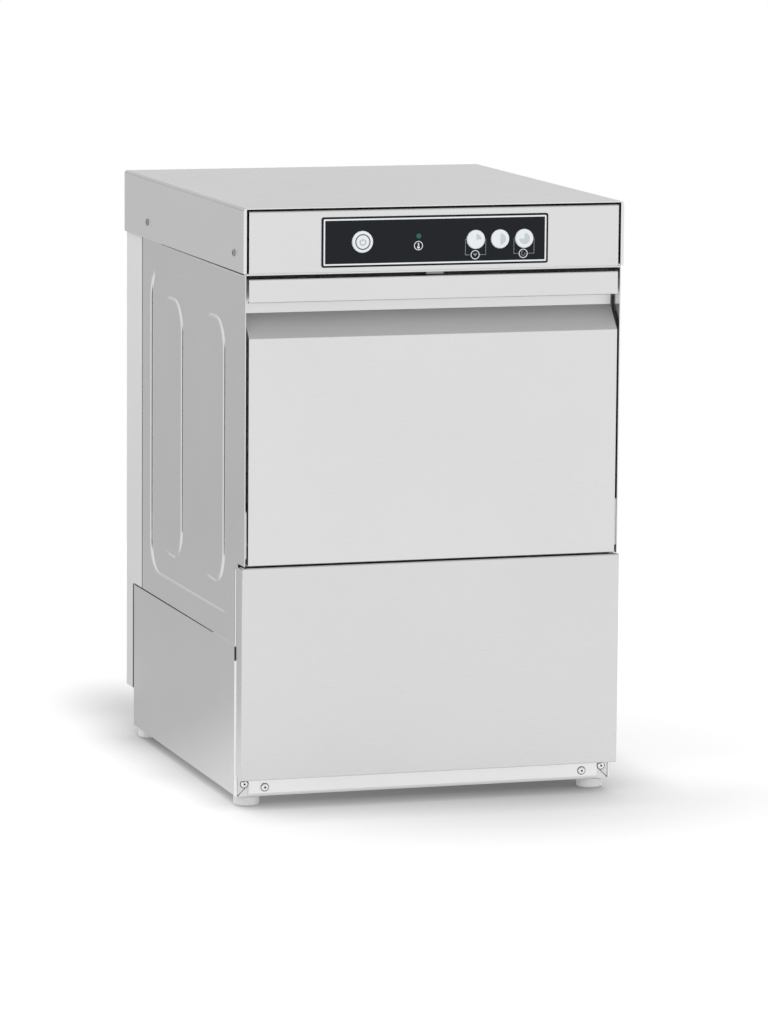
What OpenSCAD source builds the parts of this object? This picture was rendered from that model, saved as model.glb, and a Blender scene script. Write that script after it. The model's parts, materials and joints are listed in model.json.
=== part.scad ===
// Undercounter commercial dishwasher with a drop-down door, built up from folded stainless sheet.
// x runs across the front, y back from the front plane and z up from the floor.
// Every piece is drawn with y = 0 on the front plane, and place() moves it to the part's own origin.

/* [Cabinet] */
// Width over the top cover
cabinet_w = 440; // [430:5:480]
// Depth from the front plane to the back of the rear cover
cabinet_d = 520; // [510:5:580]
// Height from the floor to the top of the cover
cabinet_h = 670; // [655:5:740]
// Thickness of the body sheet
sheet = 1; // [0.8:0.1:1.2]
// Centre-line radius of a fold in the sheet
fold_r = 1.5; // [1:0.1:2]
// Width of an inner flange
flange_w = 12; // [10:1:16]
// Height of the top cover's skirt
cover_h = 71.5; // [68:0.5:90]
// Width of the cover's front returns at the sides
cover_return = 5; // [4:0.5:8]
// Height of the cover's front lip below its top
cover_lip = 1.2; // [1.2:0.1:6]
// Gap between the cover and what is under it
cover_gap = 0.2; // [0.1:0.1:0.5]
// How far the upper walls stand inside the cover
wall_inset = 2.5; // [2:0.1:4]
// Depth of the duct inside the rear cover
rear_duct_d = 74; // [70:1:90]
// Height of the rear cover's lower edge above the base
rear_cover_lift = 43; // [36:1:60]

/* [Base] */
// Height of a levelling foot
foot_h = 12; // [10:1:30]
// Radius of a foot's pad
foot_r = 14.5; // [12:0.5:20]
// Radius of a foot's stem
foot_stem_r = 4; // [3:0.5:6]
// Distance of the feet from the side faces
foot_side = 17.5; // [17:0.5:40]
// Distance of the front feet behind the front plane
foot_front = 43; // [43:1:60]
// Distance of the rear feet in front of the base's back
foot_rear = 18; // [16:1:60]
// How far the base stands behind the front plane
base_setback = 25; // [22:1:27]
// How far the base ends in front of the rear cover's back
base_rear_gap = 40; // [36:1:44]
// Height of the base side panels
base_panel_h = 169; // [160:1:172]
// Lap of the upper walls behind the base panels
wall_lap = 9; // [6:1:12]
// Height of the base's rear wall
base_rear_h = 130; // [100:5:140]
// Height of the base's front rail
base_rail_h = 36; // [30:1:40]

/* [Service panel] */
// Height of the panel's lower edge above the base
service_lift = 22.4; // [20:0.2:26]
// Height of the panel
service_h = 238.6; // [236:0.2:260]
// Height of the fixing lip's lower edge above the base
service_lip_z = 3.5; // [2:0.5:6]
// Distance of the fixing screws from the side faces
service_screw_in = 33.5; // [30:0.5:70]

/* [Door] */
// Thickness of the door
door_t = 30; // [29:0.5:36]
// Gap between the door and each side wall
door_gap_side = 3; // [2.6:0.1:5]
// Gap below the door
door_gap_low = 1.8; // [1.6:0.1:3]
// Gap above the door
door_gap_top = 4; // [4:0.1:6]
// Depth of the handle's finger recess
handle_d = 24; // [18:0.5:24]
// Height of the gripping lip
lip_h = 26.3; // [20:0.1:30]
// Height from the door's top to the foot of the recess's back
recess_h = 39.7; // [36:0.1:45]
// Height of the slope below the recess
slope_h = 26.1; // [20:0.1:34]
// Hinge axis behind the door's front face
hinge_back = 7.5; // [7.5:0.1:8]
// Hinge axis above the door's lower edge
hinge_rise = 24; // [22:0.5:30]
// Radius of a hinge pin
pin_r = 3.5; // [3:0.1:3.6]
// Wall of a hinge bush
bush_wall = 1.9; // [1.5:0.1:2]
// Clearance of a running fit, on the radius
run_fit = 0.08; // [0.05:0.01:0.1]
// Depth of the door at its tapered lower edge
taper_y = 16; // [15:0.5:18]
// Height of the tapered lower part
taper_h = 55.2; // [50:0.2:70]

/* [Controls] */
// Width of the black fascia
fascia_w = 262; // [255:1:300]
// Height of the black fascia
fascia_h = 55.5; // [52:0.5:60]
// Thickness of the fascia
fascia_t = 0.8; // [0.5:0.1:1]
// Middle of the fascia, from the middle of the machine
fascia_x = -0.5; // [-5:0.5:5]
// Radius of the power button
power_r = 12; // [10:0.1:13]
// Power button, from the left end of the fascia
power_in = 46.5; // [30:0.5:70]
// Radius of a cycle button
cycle_r = 10.5; // [9:0.1:10.5]
// Last cycle button, from the right end of the fascia
cycle_in = 28.2; // [20:0.2:32]
// Spacing of the cycle buttons
cycle_pitch = 28.2; // [28:0.2:30]
// How far the buttons stand proud of the front plane
button_proud = 3; // [2.5:0.1:4]
// Travel of a button
button_travel = 2; // [1.5:0.1:2.2]
// Clearance round a button
button_gap = 0.3; // [0.2:0.05:0.4]
// Indicator lamp, from the middle of the fascia
lamp_x = -19.5; // [-30:0.5:0]
// Indicator lamp above the middle of the fascia
lamp_rise = 5; // [0:0.5:10]
// Radius of the indicator lamp
lamp_r = 3; // [2:0.1:4]

/* [Wash chamber] */
// Gap between the gasket and the closed door
gasket_gap = 0.4; // [0.3:0.1:0.8]
// Thickness of the door gasket
gasket_t = 3.6; // [3:0.1:5]
// Width of the door frame's jambs
jamb_w = 20.5; // [18:0.5:24]
// Height of the ceiling's step below the front rail
ceiling_drop = 16.3; // [15:0.1:20]
// Depth of the side walls' pressing
press_d = 2; // [1.5:0.1:3]
// Width of the pressing's sloped edge
press_run = 5.5; // [4:0.5:10]
// Corner radius of the pressing
press_r = 40; // [30:1:45]
// Front margin of the pressing
press_front = 52; // [50:1:60]
// Rear margin of the pressing
press_rear = 36.5; // [36:0.5:50]
// Height of the pressing's lower edge above the base panels
press_low = 26; // [24:0.5:40]
// Gap from the pressing to the ceiling
press_top = 7.5; // [5:0.5:15]
// Width of a raised slot in the pressing
slot_w = 98; // [90:1:104]
// Spacing of the raised slots
slot_pitch = 180; // [176:1:184]
// Margin of the slots inside the pressing, front and ends
slot_margin = 36; // [34:1:38]
// Height of the raised slots above the pressing
slot_d = 1.8; // [1:0.1:2]
// Depth of the tank below its rim
tank_depth = 82; // [70:1:84]
// Corner radius of the tank
tank_r = 40; // [35:1:50]
// Radius of a rack rail
rail_r = 3; // [2:0.5:3.5]
// Distance of the rack rails from the wall pressing
rail_in = 14.5; // [12:0.5:16]

/* [Wash system] */
// Reach of a wash arm
arm_r = 185; // [150:1:186]
// Radius of the wash arm's bearing
wash_journal_r = 16; // [14:0.5:17]
// Radius of the rinse arm's bearing
rinse_journal_r = 10; // [8:0.5:11]
// Height of the wash arm's hub
wash_hub_h = 16; // [14:0.5:16]
// Height of the rinse arm's hub
rinse_hub_h = 10; // [9:0.5:10]
// Axial play of an arm
arm_play = 0.5; // [0.4:0.1:0.8]
// Radius of the wash water pipes
wash_pipe_r = 12; // [10:0.5:12]
// Radius of the rinse water pipes
rinse_pipe_r = 6; // [5:0.5:7]
// Wall of the pipes
pipe_wall = 1.5; // [1:0.1:2]
// Radius of the drain pipe
drain_r = 15; // [13:0.5:15]
// Wall of the drain pipe
drain_wall = 2; // [1.5:0.1:2.5]
// Radius of the threaded water inlet
inlet_r = 13.2; // [10:0.1:13.2]
// Radius of the cable gland's bore
gland_bore_r = 5; // [3:0.5:6]
// Height of the rear fittings above the base
fitting_rise = 20; // [18:0.5:20]
// Lift of the overflow pipe's top above the tank floor
overflow_h = 68; // [50:1:70]
// Height of the pump's axis above the base
pump_rise = 68; // [60:1:72]
// Radius of the pump casing
pump_r = 52; // [45:1:54]
// Radius of the boiler
boiler_r = 55; // [40:1:56]

/* [Hidden] */
$fn = 48;

// Overlap that lets a cut pass clean through a face
over = 1;
half_sheet = sheet / 2;

// Outer box: the screw heads stand proud behind, the buttons in front
screw_head_h = 1.8;
screw_head_r = 4.7;
screw_r = 2.4;
screw_gap = 0.2;
front_y = button_proud - (cabinet_d + screw_head_h + button_proud) / 2;

// Planes across the machine
half_w = cabinet_w / 2;
wall_x = half_w - wall_inset;
wall_in = wall_x - sheet;
base_x = wall_x + sheet;
door_half = wall_in - door_gap_side;
base_rail_half = base_x - flange_w - 0.7;

// Planes from front to back
base_y0 = base_setback;
base_y1 = cabinet_d - base_rear_gap;
rear_y = cabinet_d - rear_duct_d;
rear_in = rear_y - 2 * sheet;
wall_y0 = sheet + 0.5;
frame_y = door_t + gasket_gap + gasket_t;
arm_y = (frame_y + sheet + rear_in) / 2;
riser_y = (rear_y + base_y1 - sheet) / 2;

// Gap left at a weld between two sheets
weld_gap = 0.2;

// Heights
base_z = foot_h;
tray_z = base_z + sheet;
base_top = base_z + base_panel_h;
service_z0 = base_z + service_lift;
service_z1 = service_z0 + service_h;
door_z0 = service_z1 + door_gap_low;
cover_z0 = cabinet_h - cover_h;
hem_z1 = cover_z0 - cover_gap;
rail_z0 = hem_z1 - 2 * sheet;
door_z1 = rail_z0 - door_gap_top;
ceiling_z = rail_z0 - ceiling_drop;
tank_rim = service_z1 - sheet;
tank_floor = tank_rim - tank_depth;
tank_under = tank_floor - sheet;
notch_z = door_z0 - 0.5;

// Hinge
hinge_z = door_z0 + hinge_rise;
hinge_plate_t = 2;
pin_len = 18;
bush_r = pin_r + run_fit + bush_wall;
bush_fit = 0.05;

// Door frame and seal
open_half = wall_in - jamb_w;
frame_top = ceiling_z + 10;
taper_z = door_z0 + taper_h;
gasket_low = taper_z + 5;

// Wall pressing
press_y0 = press_front;
press_y1 = rear_y - press_rear;
press_z0 = base_top + press_low;
press_z1 = ceiling_z - press_top;
press_in = wall_in - press_d;
slot_y0 = press_y0 + slot_margin;
slot_reach = 4;
slot_z0 = press_z0 + slot_margin - slot_reach;
slot_z1 = press_z1 - slot_margin + slot_reach;

// Tank basin and what stands in it
basin_half = half_w - 30;
basin_y0 = frame_y + 28;
basin_y1 = rear_in - 20;
overflow_x = basin_half - 32;
overflow_y = basin_y1 - 36;
drain_bore = drain_r - drain_wall;
rim_gap = 0.3;

// Wash arms: heights along a spindle, from its thrust face
wash_hub_0 = arm_play;
shoulder_h = wash_hub_0 + wash_hub_h + arm_play;
rinse_hub_0 = shoulder_h + arm_play;
nut_0 = rinse_hub_0 + rinse_hub_h + arm_play;
nut_h = 9;
thread_r = 6;
lower_thrust = tank_rim + 6.5;
upper_thrust = ceiling_z - 28;
upper_pipe_z = ceiling_z - 14;
rinse_offset = 26;

// Rack rails level with the open door's liner
rail_z = hinge_z + door_t - hinge_back - rail_r;
rail_x = press_in - rail_in;

// Controls
panel_half = half_w - cover_return - 1.3;
panel_gap = 2.2;
panel_top = cabinet_h - cover_lip - panel_gap;
fascia_drop = 1.4;
fascia_z = (hem_z1 + panel_top) / 2 - fascia_drop;
cycle_at = [for (i = [2:-1:0]) fascia_x + fascia_w / 2 - cycle_in - i * cycle_pitch];
power_at = fascia_x - fascia_w / 2 + power_in;
collar_w = 1.3;
collar_t = 2;
cup_gap = 0.3;
cup_wall = 1.6;
cup_floor = 4;
stem_r = 4;
collar_y = sheet + 0.3;
cup_y = collar_y + collar_t + button_travel + 1;

// Screws: across the cover's skirt, along the cover's back and in the base
cover_screw_z = cover_z0 + 19.8;
cover_screw_y = [39, cabinet_d - 107];
cover_back_x = 150;
service_screw_x = half_w - service_screw_in;
service_screw_z = base_z + 10;
corner_screw_x = base_x - 8.5;
corner_screw_z = base_z + 14.5;
service_lip_half = corner_screw_x - screw_head_r - 0.5;
screw_len = 9;

// Machinery in the base
motor_r = 45;
motor_gap = 12;
pump_gap = 4.5;
pump_y = overflow_y - drain_r - motor_r - pump_gap;
pump_z = base_z + pump_rise;
pump_x0 = 30;
pump_len = 50;
pump_wall = 8;
motor_len = wall_in - pump_x0 - pump_len - motor_gap;
shaft_r = 6;
outlet_in = 4;
outlet_rise = 8;
outlet = [pump_x0 + pump_len / 2, pump_y + pump_r - wash_pipe_r - outlet_in];
outlet_z = pump_z + pump_r + outlet_rise;
hose_r = 17;
hose_wall = 3;
hose_bend = 30;
hose_end = 22;
suction_x = -75;
strainer_r = 30;
main_z = tank_under - 29;
rinse_z = tank_under - 17;
boiler_x = -half_w + 100;
boiler_z = pump_z + 5;
boiler_y0 = 60;
boiler_gap = 40;
boiler_y1 = pump_y - boiler_gap;
boss_r = 9;
boss_h = 9;
boss_in = 30;
boss_z = boiler_z - 15;
inlet_x = boiler_x - boss_in;
valve_len = 36;
rinse_in = 45;
pillar_r = 20;
pillar_foot_r = 34;
pillar_foot_t = 4;
doser_x = 60;
doser_y = 60;
doser_w = 46;
doser_h = 58;
block_w = 60;
block_d = 24;
block_h = 26;
block_back = 60;
fitting_z = base_z + fitting_rise;
gland_x = 60;
heater_x = [60, 130];
heater_z = tank_floor + 14;
heater_r = 4;

// Control board, from its left end and from the arms' axis
board_x = -130;
board_front = 110;
board_w = 190;
board_d = 130;
board_lift = 8;
board_t = 1.6;
board_edge = 8;
relay_h = 16;

steel = [0.80, 0.81, 0.82];
dark_steel = [0.55, 0.56, 0.58];
black = [0.13, 0.14, 0.16];
white = [0.92, 0.93, 0.94];
grey = [0.5, 0.5, 0.52];
copper = [0.72, 0.45, 0.3];

// Moves a piece from the front plane to the part's origin
module place() translate([0, front_y, 0]) children();

// Flat outlines
function unit(v) = v / norm(v);
function left_of(v) = [-v[1], v[0]];
function turned(v, a) = [v[0] * cos(a) - v[1] * sin(a), v[0] * sin(a) + v[1] * cos(a)];

// A point of a path, shifted sideways so that the shifted path keeps its distance
function shifted(p, i, d) =
  let (last = len(p) - 1,
       a = unit(p[max(i, 1)] - p[max(i, 1) - 1]),
       b = unit(p[min(i, last - 1) + 1] - p[min(i, last - 1)]),
       m = unit(left_of(a) + left_of(b)))
  p[i] + m * d / (m * left_of(a));
function shifted_path(p, d) = [for (i = [0:len(p) - 1]) shifted(p, i, d)];
function reversed(p) = [for (i = [len(p) - 1:-1:0]) p[i]];

// A folded sheet seen edge on: the centre line with rounded folds, thickened
function fold_arc(p0, p1, p2, r, n) =
  let (a = unit(p1 - p0), b = unit(p2 - p1), turn = acos(a * b),
       side = sign(a[0] * b[1] - a[1] * b[0]),
       start = p1 - a * r * tan(turn / 2),
       centre = start + left_of(a) * side * r)
  [for (k = [0:n]) centre + turned(start - centre, side * turn * k / n)];
function folded(p, r = fold_r, n = 3) =
  [for (i = [0:len(p) - 1])
    each (i == 0 || i == len(p) - 1 ? [p[i]] : fold_arc(p[i - 1], p[i], p[i + 1], r, n))];
function thick(p, t = sheet) = concat(shifted_path(p, t / 2), reversed(shifted_path(p, -t / 2)));

// A rectangle with round corners, grown by g
function round_rect(x0, y0, x1, y1, r, g = 0, n = 6) =
  let (q = r + g,
       corners = [[x1 + g - q, y1 + g - q, 0], [x0 - g + q, y1 + g - q, 90],
                  [x0 - g + q, y0 - g + q, 180], [x1 + g - q, y0 - g + q, 270]])
  [for (c = corners, k = [0:n]) [c[0], c[1]] + q * [cos(c[2] + 90 * k / n), sin(c[2] + 90 * k / n)]];

// Extrusions of flat outlines along each axis
module along_x(x0, x1) translate([x0, 0, 0]) rotate([90, 0, 90]) linear_extrude(x1 - x0) children();
module along_y(y0, y1) translate([0, y1, 0]) rotate([90, 0, 0]) linear_extrude(y1 - y0) children();
module along_z(z0, z1) translate([0, 0, z0]) linear_extrude(z1 - z0) children();
module rod_x(r, x0, x1, y, z) translate([x0, y, z]) rotate([0, 90, 0]) cylinder(r = r, h = x1 - x0);
module rod_y(r, x, y0, y1, z) translate([x, y0, z]) rotate([-90, 0, 0]) cylinder(r = r, h = y1 - y0);
module rod_z(r, x, y, z0, z1) translate([x, y, z0]) cylinder(r = r, h = z1 - z0);
module spun_y(x, z) translate([x, 0, z]) rotate([-90, 0, 0]) rotate_extrude() children();
module both_sides() for (s = [0, 1]) mirror([s, 0, 0]) children();

// A pressing in a wall, from its face at x to its depth, with sloped edges; lead carries it past the face
module pressing_x(x, depth, lead, run, box, r) {
  skin = 0.01;
  way = sign(depth);
  grow = run * lead / abs(depth);
  hull() {
    along_x(x - way * lead - skin / 2, x - way * lead + skin / 2)
      polygon(round_rect(box[0], box[1], box[2], box[3], r, grow));
    along_x(min(x + depth, x + depth - way * skin), max(x + depth, x + depth - way * skin))
      polygon(round_rect(box[0], box[1], box[2], box[3], r, -run));
  }
}
module pressing_y(y, depth, lead, run, box, r) {
  translate([0, y, 0]) mirror([1, -1, 0]) pressing_x(0, depth, lead, run, box, r);
}

// Pipes: straight rods joined by quarter bends
module rod(p, q, r) {
  d = q - p;
  translate(p) rotate([0, acos(d[2] / norm(d)), atan2(d[1], d[0])]) cylinder(h = norm(d), r = r);
}
module bend(p, u, w, r, bend_r) {
  c = p - u * bend_r + w * bend_r;
  n = cross(u, w);
  multmatrix([[-w[0], u[0], n[0], c[0]], [-w[1], u[1], n[1], c[1]], [-w[2], u[2], n[2], c[2]], [0, 0, 0, 1]])
    rotate_extrude(angle = 90) translate([bend_r, 0]) circle(r);
}
module pipe_run(p, r, bend_r, past = 0) {
  last = len(p) - 1;
  ways = [for (i = [0:last - 1]) unit(p[i + 1] - p[i])];
  for (i = [0:last - 1])
    rod(p[i] + ways[i] * (i == 0 ? -past : bend_r), p[i + 1] - ways[i] * (i == last - 1 ? -past : bend_r), r);
  if (last > 1) for (i = [1:last - 1]) bend(p[i], ways[i - 1], ways[i], r, bend_r);
}
module pipe(runs, r, wall, bend_r) {
  difference() {
    for (p = runs) pipe_run(p, r, bend_r);
    for (p = runs) pipe_run(p, r - wall, bend_r, over);
  }
}

// Base
function foot_places() =
  [for (x = [-1, 1], y = [foot_front, base_y1 - foot_rear]) [x * (half_w - foot_side), y]];

module base_frame() color(steel) {
  rail_z1 = base_z + base_rail_h;
  rail_path = [[base_y0 + 14, rail_z1 - half_sheet], [base_y0 + half_sheet, rail_z1 - half_sheet],
               [base_y0 + half_sheet, base_z + half_sheet], [base_y0 + 20, base_z + half_sheet]];
  tab_y = base_y0 + sheet;
  tab_x = wall_x - fold_r;
  side_y = tab_y + fold_r;
  upstand = rear_cover_lift - 10;
  nut_h = 7;
  difference() {
    union() {
      along_x(-base_rail_half, base_rail_half) polygon(thick(folded(rail_path)));
      along_z(base_z, tray_z) {
        translate([-tab_x, tab_y]) square([2 * tab_x, base_y1 - tab_y]);
        translate([-wall_x, side_y]) square([2 * wall_x, base_y1 - side_y]);
      }
      along_y(base_y1 - sheet, base_y1) translate([-wall_in, base_z])
        square([2 * wall_in, base_rear_h]);
      both_sides() {
        along_x(wall_in, wall_x) translate([side_y, base_z]) square([base_y1 - side_y, upstand]);
        along_y(tab_y, tab_y + sheet) translate([base_rail_half - 6, base_z])
          square([tab_x - base_rail_half + 6, upstand]);
      }
      for (f = foot_places()) rod_z(foot_stem_r + 5, f[0], f[1], base_z + sheet / 2, tray_z + nut_h, $fn = 6);
    }
    for (f = foot_places()) rod_z(foot_stem_r + run_fit, f[0], f[1], base_z - over, tray_z + nut_h + over);
    both_sides() {
      rod_y(screw_r + screw_gap, service_screw_x, base_y0 - over, base_y0 + sheet + over, service_screw_z);
      rod_y(screw_r + screw_gap, corner_screw_x, base_y0, tab_y + sheet + over, corner_screw_z);
    }
    rod_y(inlet_r + 0.3, inlet_x, base_y1 - sheet - over, base_y1 + over, fitting_z);
    rod_y(drain_r + 0.3, overflow_x, base_y1 - sheet - over, base_y1 + over, fitting_z);
    rod_y(gland_bore_r + 3.6, gland_x, base_y1 - sheet - over, base_y1 + over, fitting_z);
  }
}

// Right-hand side panel of the base; the left one is its mirror image
module base_panel() {
  return_x = base_rail_half + 0.4;
  relief_h = 15;
  return_top = base_top - relief_h;
  mitre = base_x - return_x;
  path = [[return_x, base_y0 + half_sheet], [base_x - half_sheet, base_y0 + half_sheet],
          [base_x - half_sheet, base_y1]];
  difference() {
    along_z(base_z, base_top) polygon(thick(folded(path)));
    along_y(base_y0 - over, base_y0 + sheet + 0.6) {
      polygon([[return_x - over, base_z - over], [base_x - sheet, base_z - over],
               [base_x - sheet, base_z + sheet], [return_x - over, base_z + mitre]]);
      translate([return_x - over, return_top]) square([base_x - sheet - return_x + over, relief_h + over]);
    }
    along_x(wall_x - 0.6, base_x + over)
      polygon([[base_y0 - over, return_top], [base_y0 + 3, return_top], [base_y0 + 6, base_top + over],
               [base_y0 - over, base_top + over]]);
    rod_y(screw_r + screw_gap, corner_screw_x, base_y0 - over, base_y0 + sheet + over, corner_screw_z);
  }
}
module base_panel_right() color(steel) base_panel();
module base_panel_left() color(steel) mirror([1, 0, 0]) base_panel();

// Levelling foot: a moulded pad on a screwed stem
module foot(i) color(white) {
  at = foot_places()[i];
  stem_top = foot_h + 22;
  translate([at[0], at[1], 0]) rotate_extrude()
    polygon([[0, 0], [foot_r - 1.5, 0], [foot_r, 1.5], [foot_r, foot_h - 2], [foot_r - 2, foot_h],
             [foot_stem_r, foot_h], [foot_stem_r, stem_top], [0, stem_top]]);
}

// Right-hand chamber wall with its pressed panel and two raised slots; the left one is its mirror image
module chamber_wall() {
  z0 = base_top - wall_lap;
  z1 = cabinet_h - sheet;
  low_y = base_y0 + sheet + fold_r;
  relief = 6;
  lead = 0.4;
  panel = [press_y0, press_z0, press_y1, press_z1];
  slots = [for (i = [0, 1]) [slot_y0 + i * slot_pitch, slot_z0, slot_y0 + i * slot_pitch + slot_w, slot_z1]];
  top_flange = [[wall_in - flange_w, z1 - half_sheet], [wall_x - half_sheet, z1 - half_sheet],
                [wall_x - half_sheet, z1 - 10]];
  rear_flange = [[wall_in - flange_w, rear_y - half_sheet], [wall_x - half_sheet, rear_y - half_sheet],
                 [wall_x - half_sheet, rear_y - 10]];
  difference() {
    union() {
      difference() {
        union() {
          along_x(wall_in, wall_x)
            polygon([[low_y + relief, z0], [rear_y - 4, z0], [rear_y - 4, z1 - 4], [wall_y0, z1 - 4],
                     [wall_y0, notch_z], [low_y, notch_z], [low_y, base_top], [low_y + relief, base_top]]);
          along_y(wall_y0, rear_y - 4) polygon(thick(folded(top_flange)));
          along_z(z0, z1 - 4) polygon(thick(folded(rear_flange)));
          pressing_x(wall_in, -press_d, lead, press_run, panel, press_r);
          for (y = cover_screw_y) rod_x(6, wall_in, half_w - sheet, y, cover_screw_z);
        }
        pressing_x(wall_x, -press_d, lead, press_run, panel, press_r);
        for (y = cover_screw_y) rod_x(screw_r + screw_gap, wall_in - over, half_w, y, cover_screw_z);
      }
      for (s = slots) pressing_x(wall_x - press_d, slot_d, lead, press_run - 1, s, press_r - 2);
    }
    for (s = slots) pressing_x(press_in, slot_d, lead, press_run - 1, s, press_r - 2);
  }
}
module right_wall() color(steel) chamber_wall();
module left_wall() color(steel) mirror([1, 0, 0]) chamber_wall();

module rear_wall() color(steel) difference() {
  half = wall_in - fold_r;
  along_y(rear_in, rear_in + sheet) translate([-half, base_top])
    square([2 * half, cabinet_h - 30 - base_top]);
  rod_y(wash_pipe_r - pipe_wall, 0, rear_in - over, rear_in + sheet + over, upper_pipe_z);
  rod_y(rinse_pipe_r - pipe_wall, -rinse_offset, rear_in - over, rear_in + sheet + over, upper_pipe_z);
}

// Chamber ceiling, folded up and forward into the hemmed rail above the door
module ceiling() color(steel) {
  riser_y0 = frame_y + sheet + half_sheet;
  path = [[rear_in - weld_gap, ceiling_z + half_sheet], [riser_y0, ceiling_z + half_sheet],
          [riser_y0, rail_z0 + half_sheet], [0, rail_z0 + half_sheet]];
  along_x(-wall_in, wall_in) {
    polygon(thick(folded(path)));
    polygon(round_rect(0, rail_z0, flange_w + 4, hem_z1, half_sheet));
  }
}

// Inverted U that the gasket sits on
module door_frame() color(steel) along_y(frame_y, frame_y + sheet) difference() {
  translate([-wall_in, tank_rim]) square([2 * wall_in, frame_top - tank_rim]);
  polygon(concat([[-open_half, tank_rim - over]], [for (k = [0:6]) [-open_half + 20, ceiling_z - 40]
    + 20 * [-cos(15 * k), sin(15 * k)]], [for (k = [6:-1:0]) [open_half - 20, ceiling_z - 40]
    + 20 * [cos(15 * k), sin(15 * k)]], [[open_half, tank_rim - over]]));
}

module door_gasket() color(black) along_y(frame_y - gasket_t, frame_y) {
  inset = 6 + gasket_gap;
  edge = wall_in - 4 - inset;
  top = ceiling_z - inset - 3;
  path = [[-edge, gasket_low], [-edge, top], [edge, top], [edge, gasket_low]];
  polygon(thick(folded(path, 12, 5), 10));
}

// Tank: a pressed basin with a rim, and a drip lip that reaches forward under the door
module tank() color(steel) {
  rim_half = press_in - rim_gap;
  lip_half = wall_in - 4.5;
  lip_d = 10;
  tab_d = press_front - frame_y - 4;
  lip = [[basin_y0 - 10, tank_rim - half_sheet], [frame_y - 6, tank_rim - half_sheet],
         [frame_y - 18, tank_rim - 4], [lip_d - half_sheet, tank_rim - 4], [lip_d - half_sheet, tank_rim]];
  basin = [-basin_half, basin_y0, basin_half, basin_y1];
  difference() {
    union() {
      along_z(tank_rim - sheet, tank_rim) difference() {
        union() {
          translate([-rim_half, frame_y]) square([2 * rim_half, rear_in - frame_y]);
          translate([-wall_in, frame_y]) square([2 * wall_in, tab_d]);
          translate([-wall_in, press_y1 + 4]) square([2 * wall_in, rear_in - fold_r - press_y1 - 4]);
        }
        polygon(round_rect(basin[0], basin[1], basin[2], basin[3], tank_r));
      }
      along_x(-lip_half, lip_half) polygon(thick(folded(lip)));
      along_z(tank_under, tank_rim - sheet / 2) difference() {
        polygon(round_rect(basin[0], basin[1], basin[2], basin[3], tank_r, sheet));
        polygon(round_rect(basin[0], basin[1], basin[2], basin[3], tank_r));
      }
      along_z(tank_under, tank_floor)
        polygon(round_rect(basin[0], basin[1], basin[2], basin[3], tank_r, sheet / 2));
    }
    rod_z(drain_bore, overflow_x, overflow_y, tank_under - over, tank_floor + over);
    rod_z(wash_pipe_r - pipe_wall, 0, arm_y, tank_under - over, tank_floor + over);
    rod_z(hose_r - hose_wall, suction_x, pump_y, tank_under - over, tank_floor + over);
    for (x = heater_x) rod_y(heater_r + 0.2, x, basin_y0 - sheet - over, basin_y0 + over, heater_z);
  }
}

// Outer casing
module rear_cover() color(steel) {
  x = wall_x - half_sheet;
  front = rear_y + half_sheet;
  back = cabinet_d - half_sheet;
  path = [[-wall_in + flange_w, front], [-x, front], [-x, back], [x, back], [x, front],
          [wall_in - flange_w, front]];
  along_z(base_z + rear_cover_lift, cover_z0 - cover_gap) polygon(thick(folded(path)));
}

module top_cover() color(steel) {
  x = half_w - half_sheet;
  z = cabinet_h - half_sheet;
  path = folded([[x, cover_z0], [x, z], [-x, z], [-x, cover_z0]], 2.5, 4);
  section = shifted_path(path, -half_sheet);
  difference() {
    union() {
      along_y(0, cabinet_d) polygon(thick(path));
      along_y(0, sheet) difference() {
        polygon(section);
        translate([-half_w + cover_return, cover_z0 - over])
          square([cabinet_w - 2 * cover_return, cover_h - cover_lip + over]);
      }
      along_y(cabinet_d - sheet, cabinet_d) polygon(section);
    }
    both_sides() for (y = cover_screw_y)
      rod_x(screw_r + screw_gap, half_w - sheet - over, half_w + over, y, cover_screw_z);
    both_sides()
      rod_y(screw_r + screw_gap, cover_back_x, cabinet_d - sheet - over, cabinet_d + over, cover_screw_z);
  }
}

// Removable panel below the door: tray-shaped, with a set-back lip that is screwed to the base
module service_panel() color(steel) {
  x = half_w - half_sheet;
  shell = [[-x, base_y0], [-x, half_sheet], [x, half_sheet], [x, base_y0]];
  top = service_z1 - half_sheet;
  low = service_z0 + half_sheet;
  head = [[flange_w, top], [half_sheet, top], [half_sheet, top - 10]];
  foot = [[half_sheet, low + 10], [half_sheet, low], [base_y0 - half_sheet, low],
          [base_y0 - half_sheet, base_z + service_lip_z]];
  difference() {
    union() {
      along_z(service_z0 + fold_r, service_z1 - fold_r) polygon(thick(folded(shell)));
      along_x(-x, x) polygon(thick(folded(head)));
      along_x(-x, x) polygon(thick(folded([foot[0], foot[1], [6, low]])));
      along_x(-service_lip_half, service_lip_half) polygon(thick(folded(foot)));
    }
    both_sides()
      rod_y(screw_r + screw_gap, service_screw_x, base_y0 - sheet - over, base_y0 + over, service_screw_z);
  }
}

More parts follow.
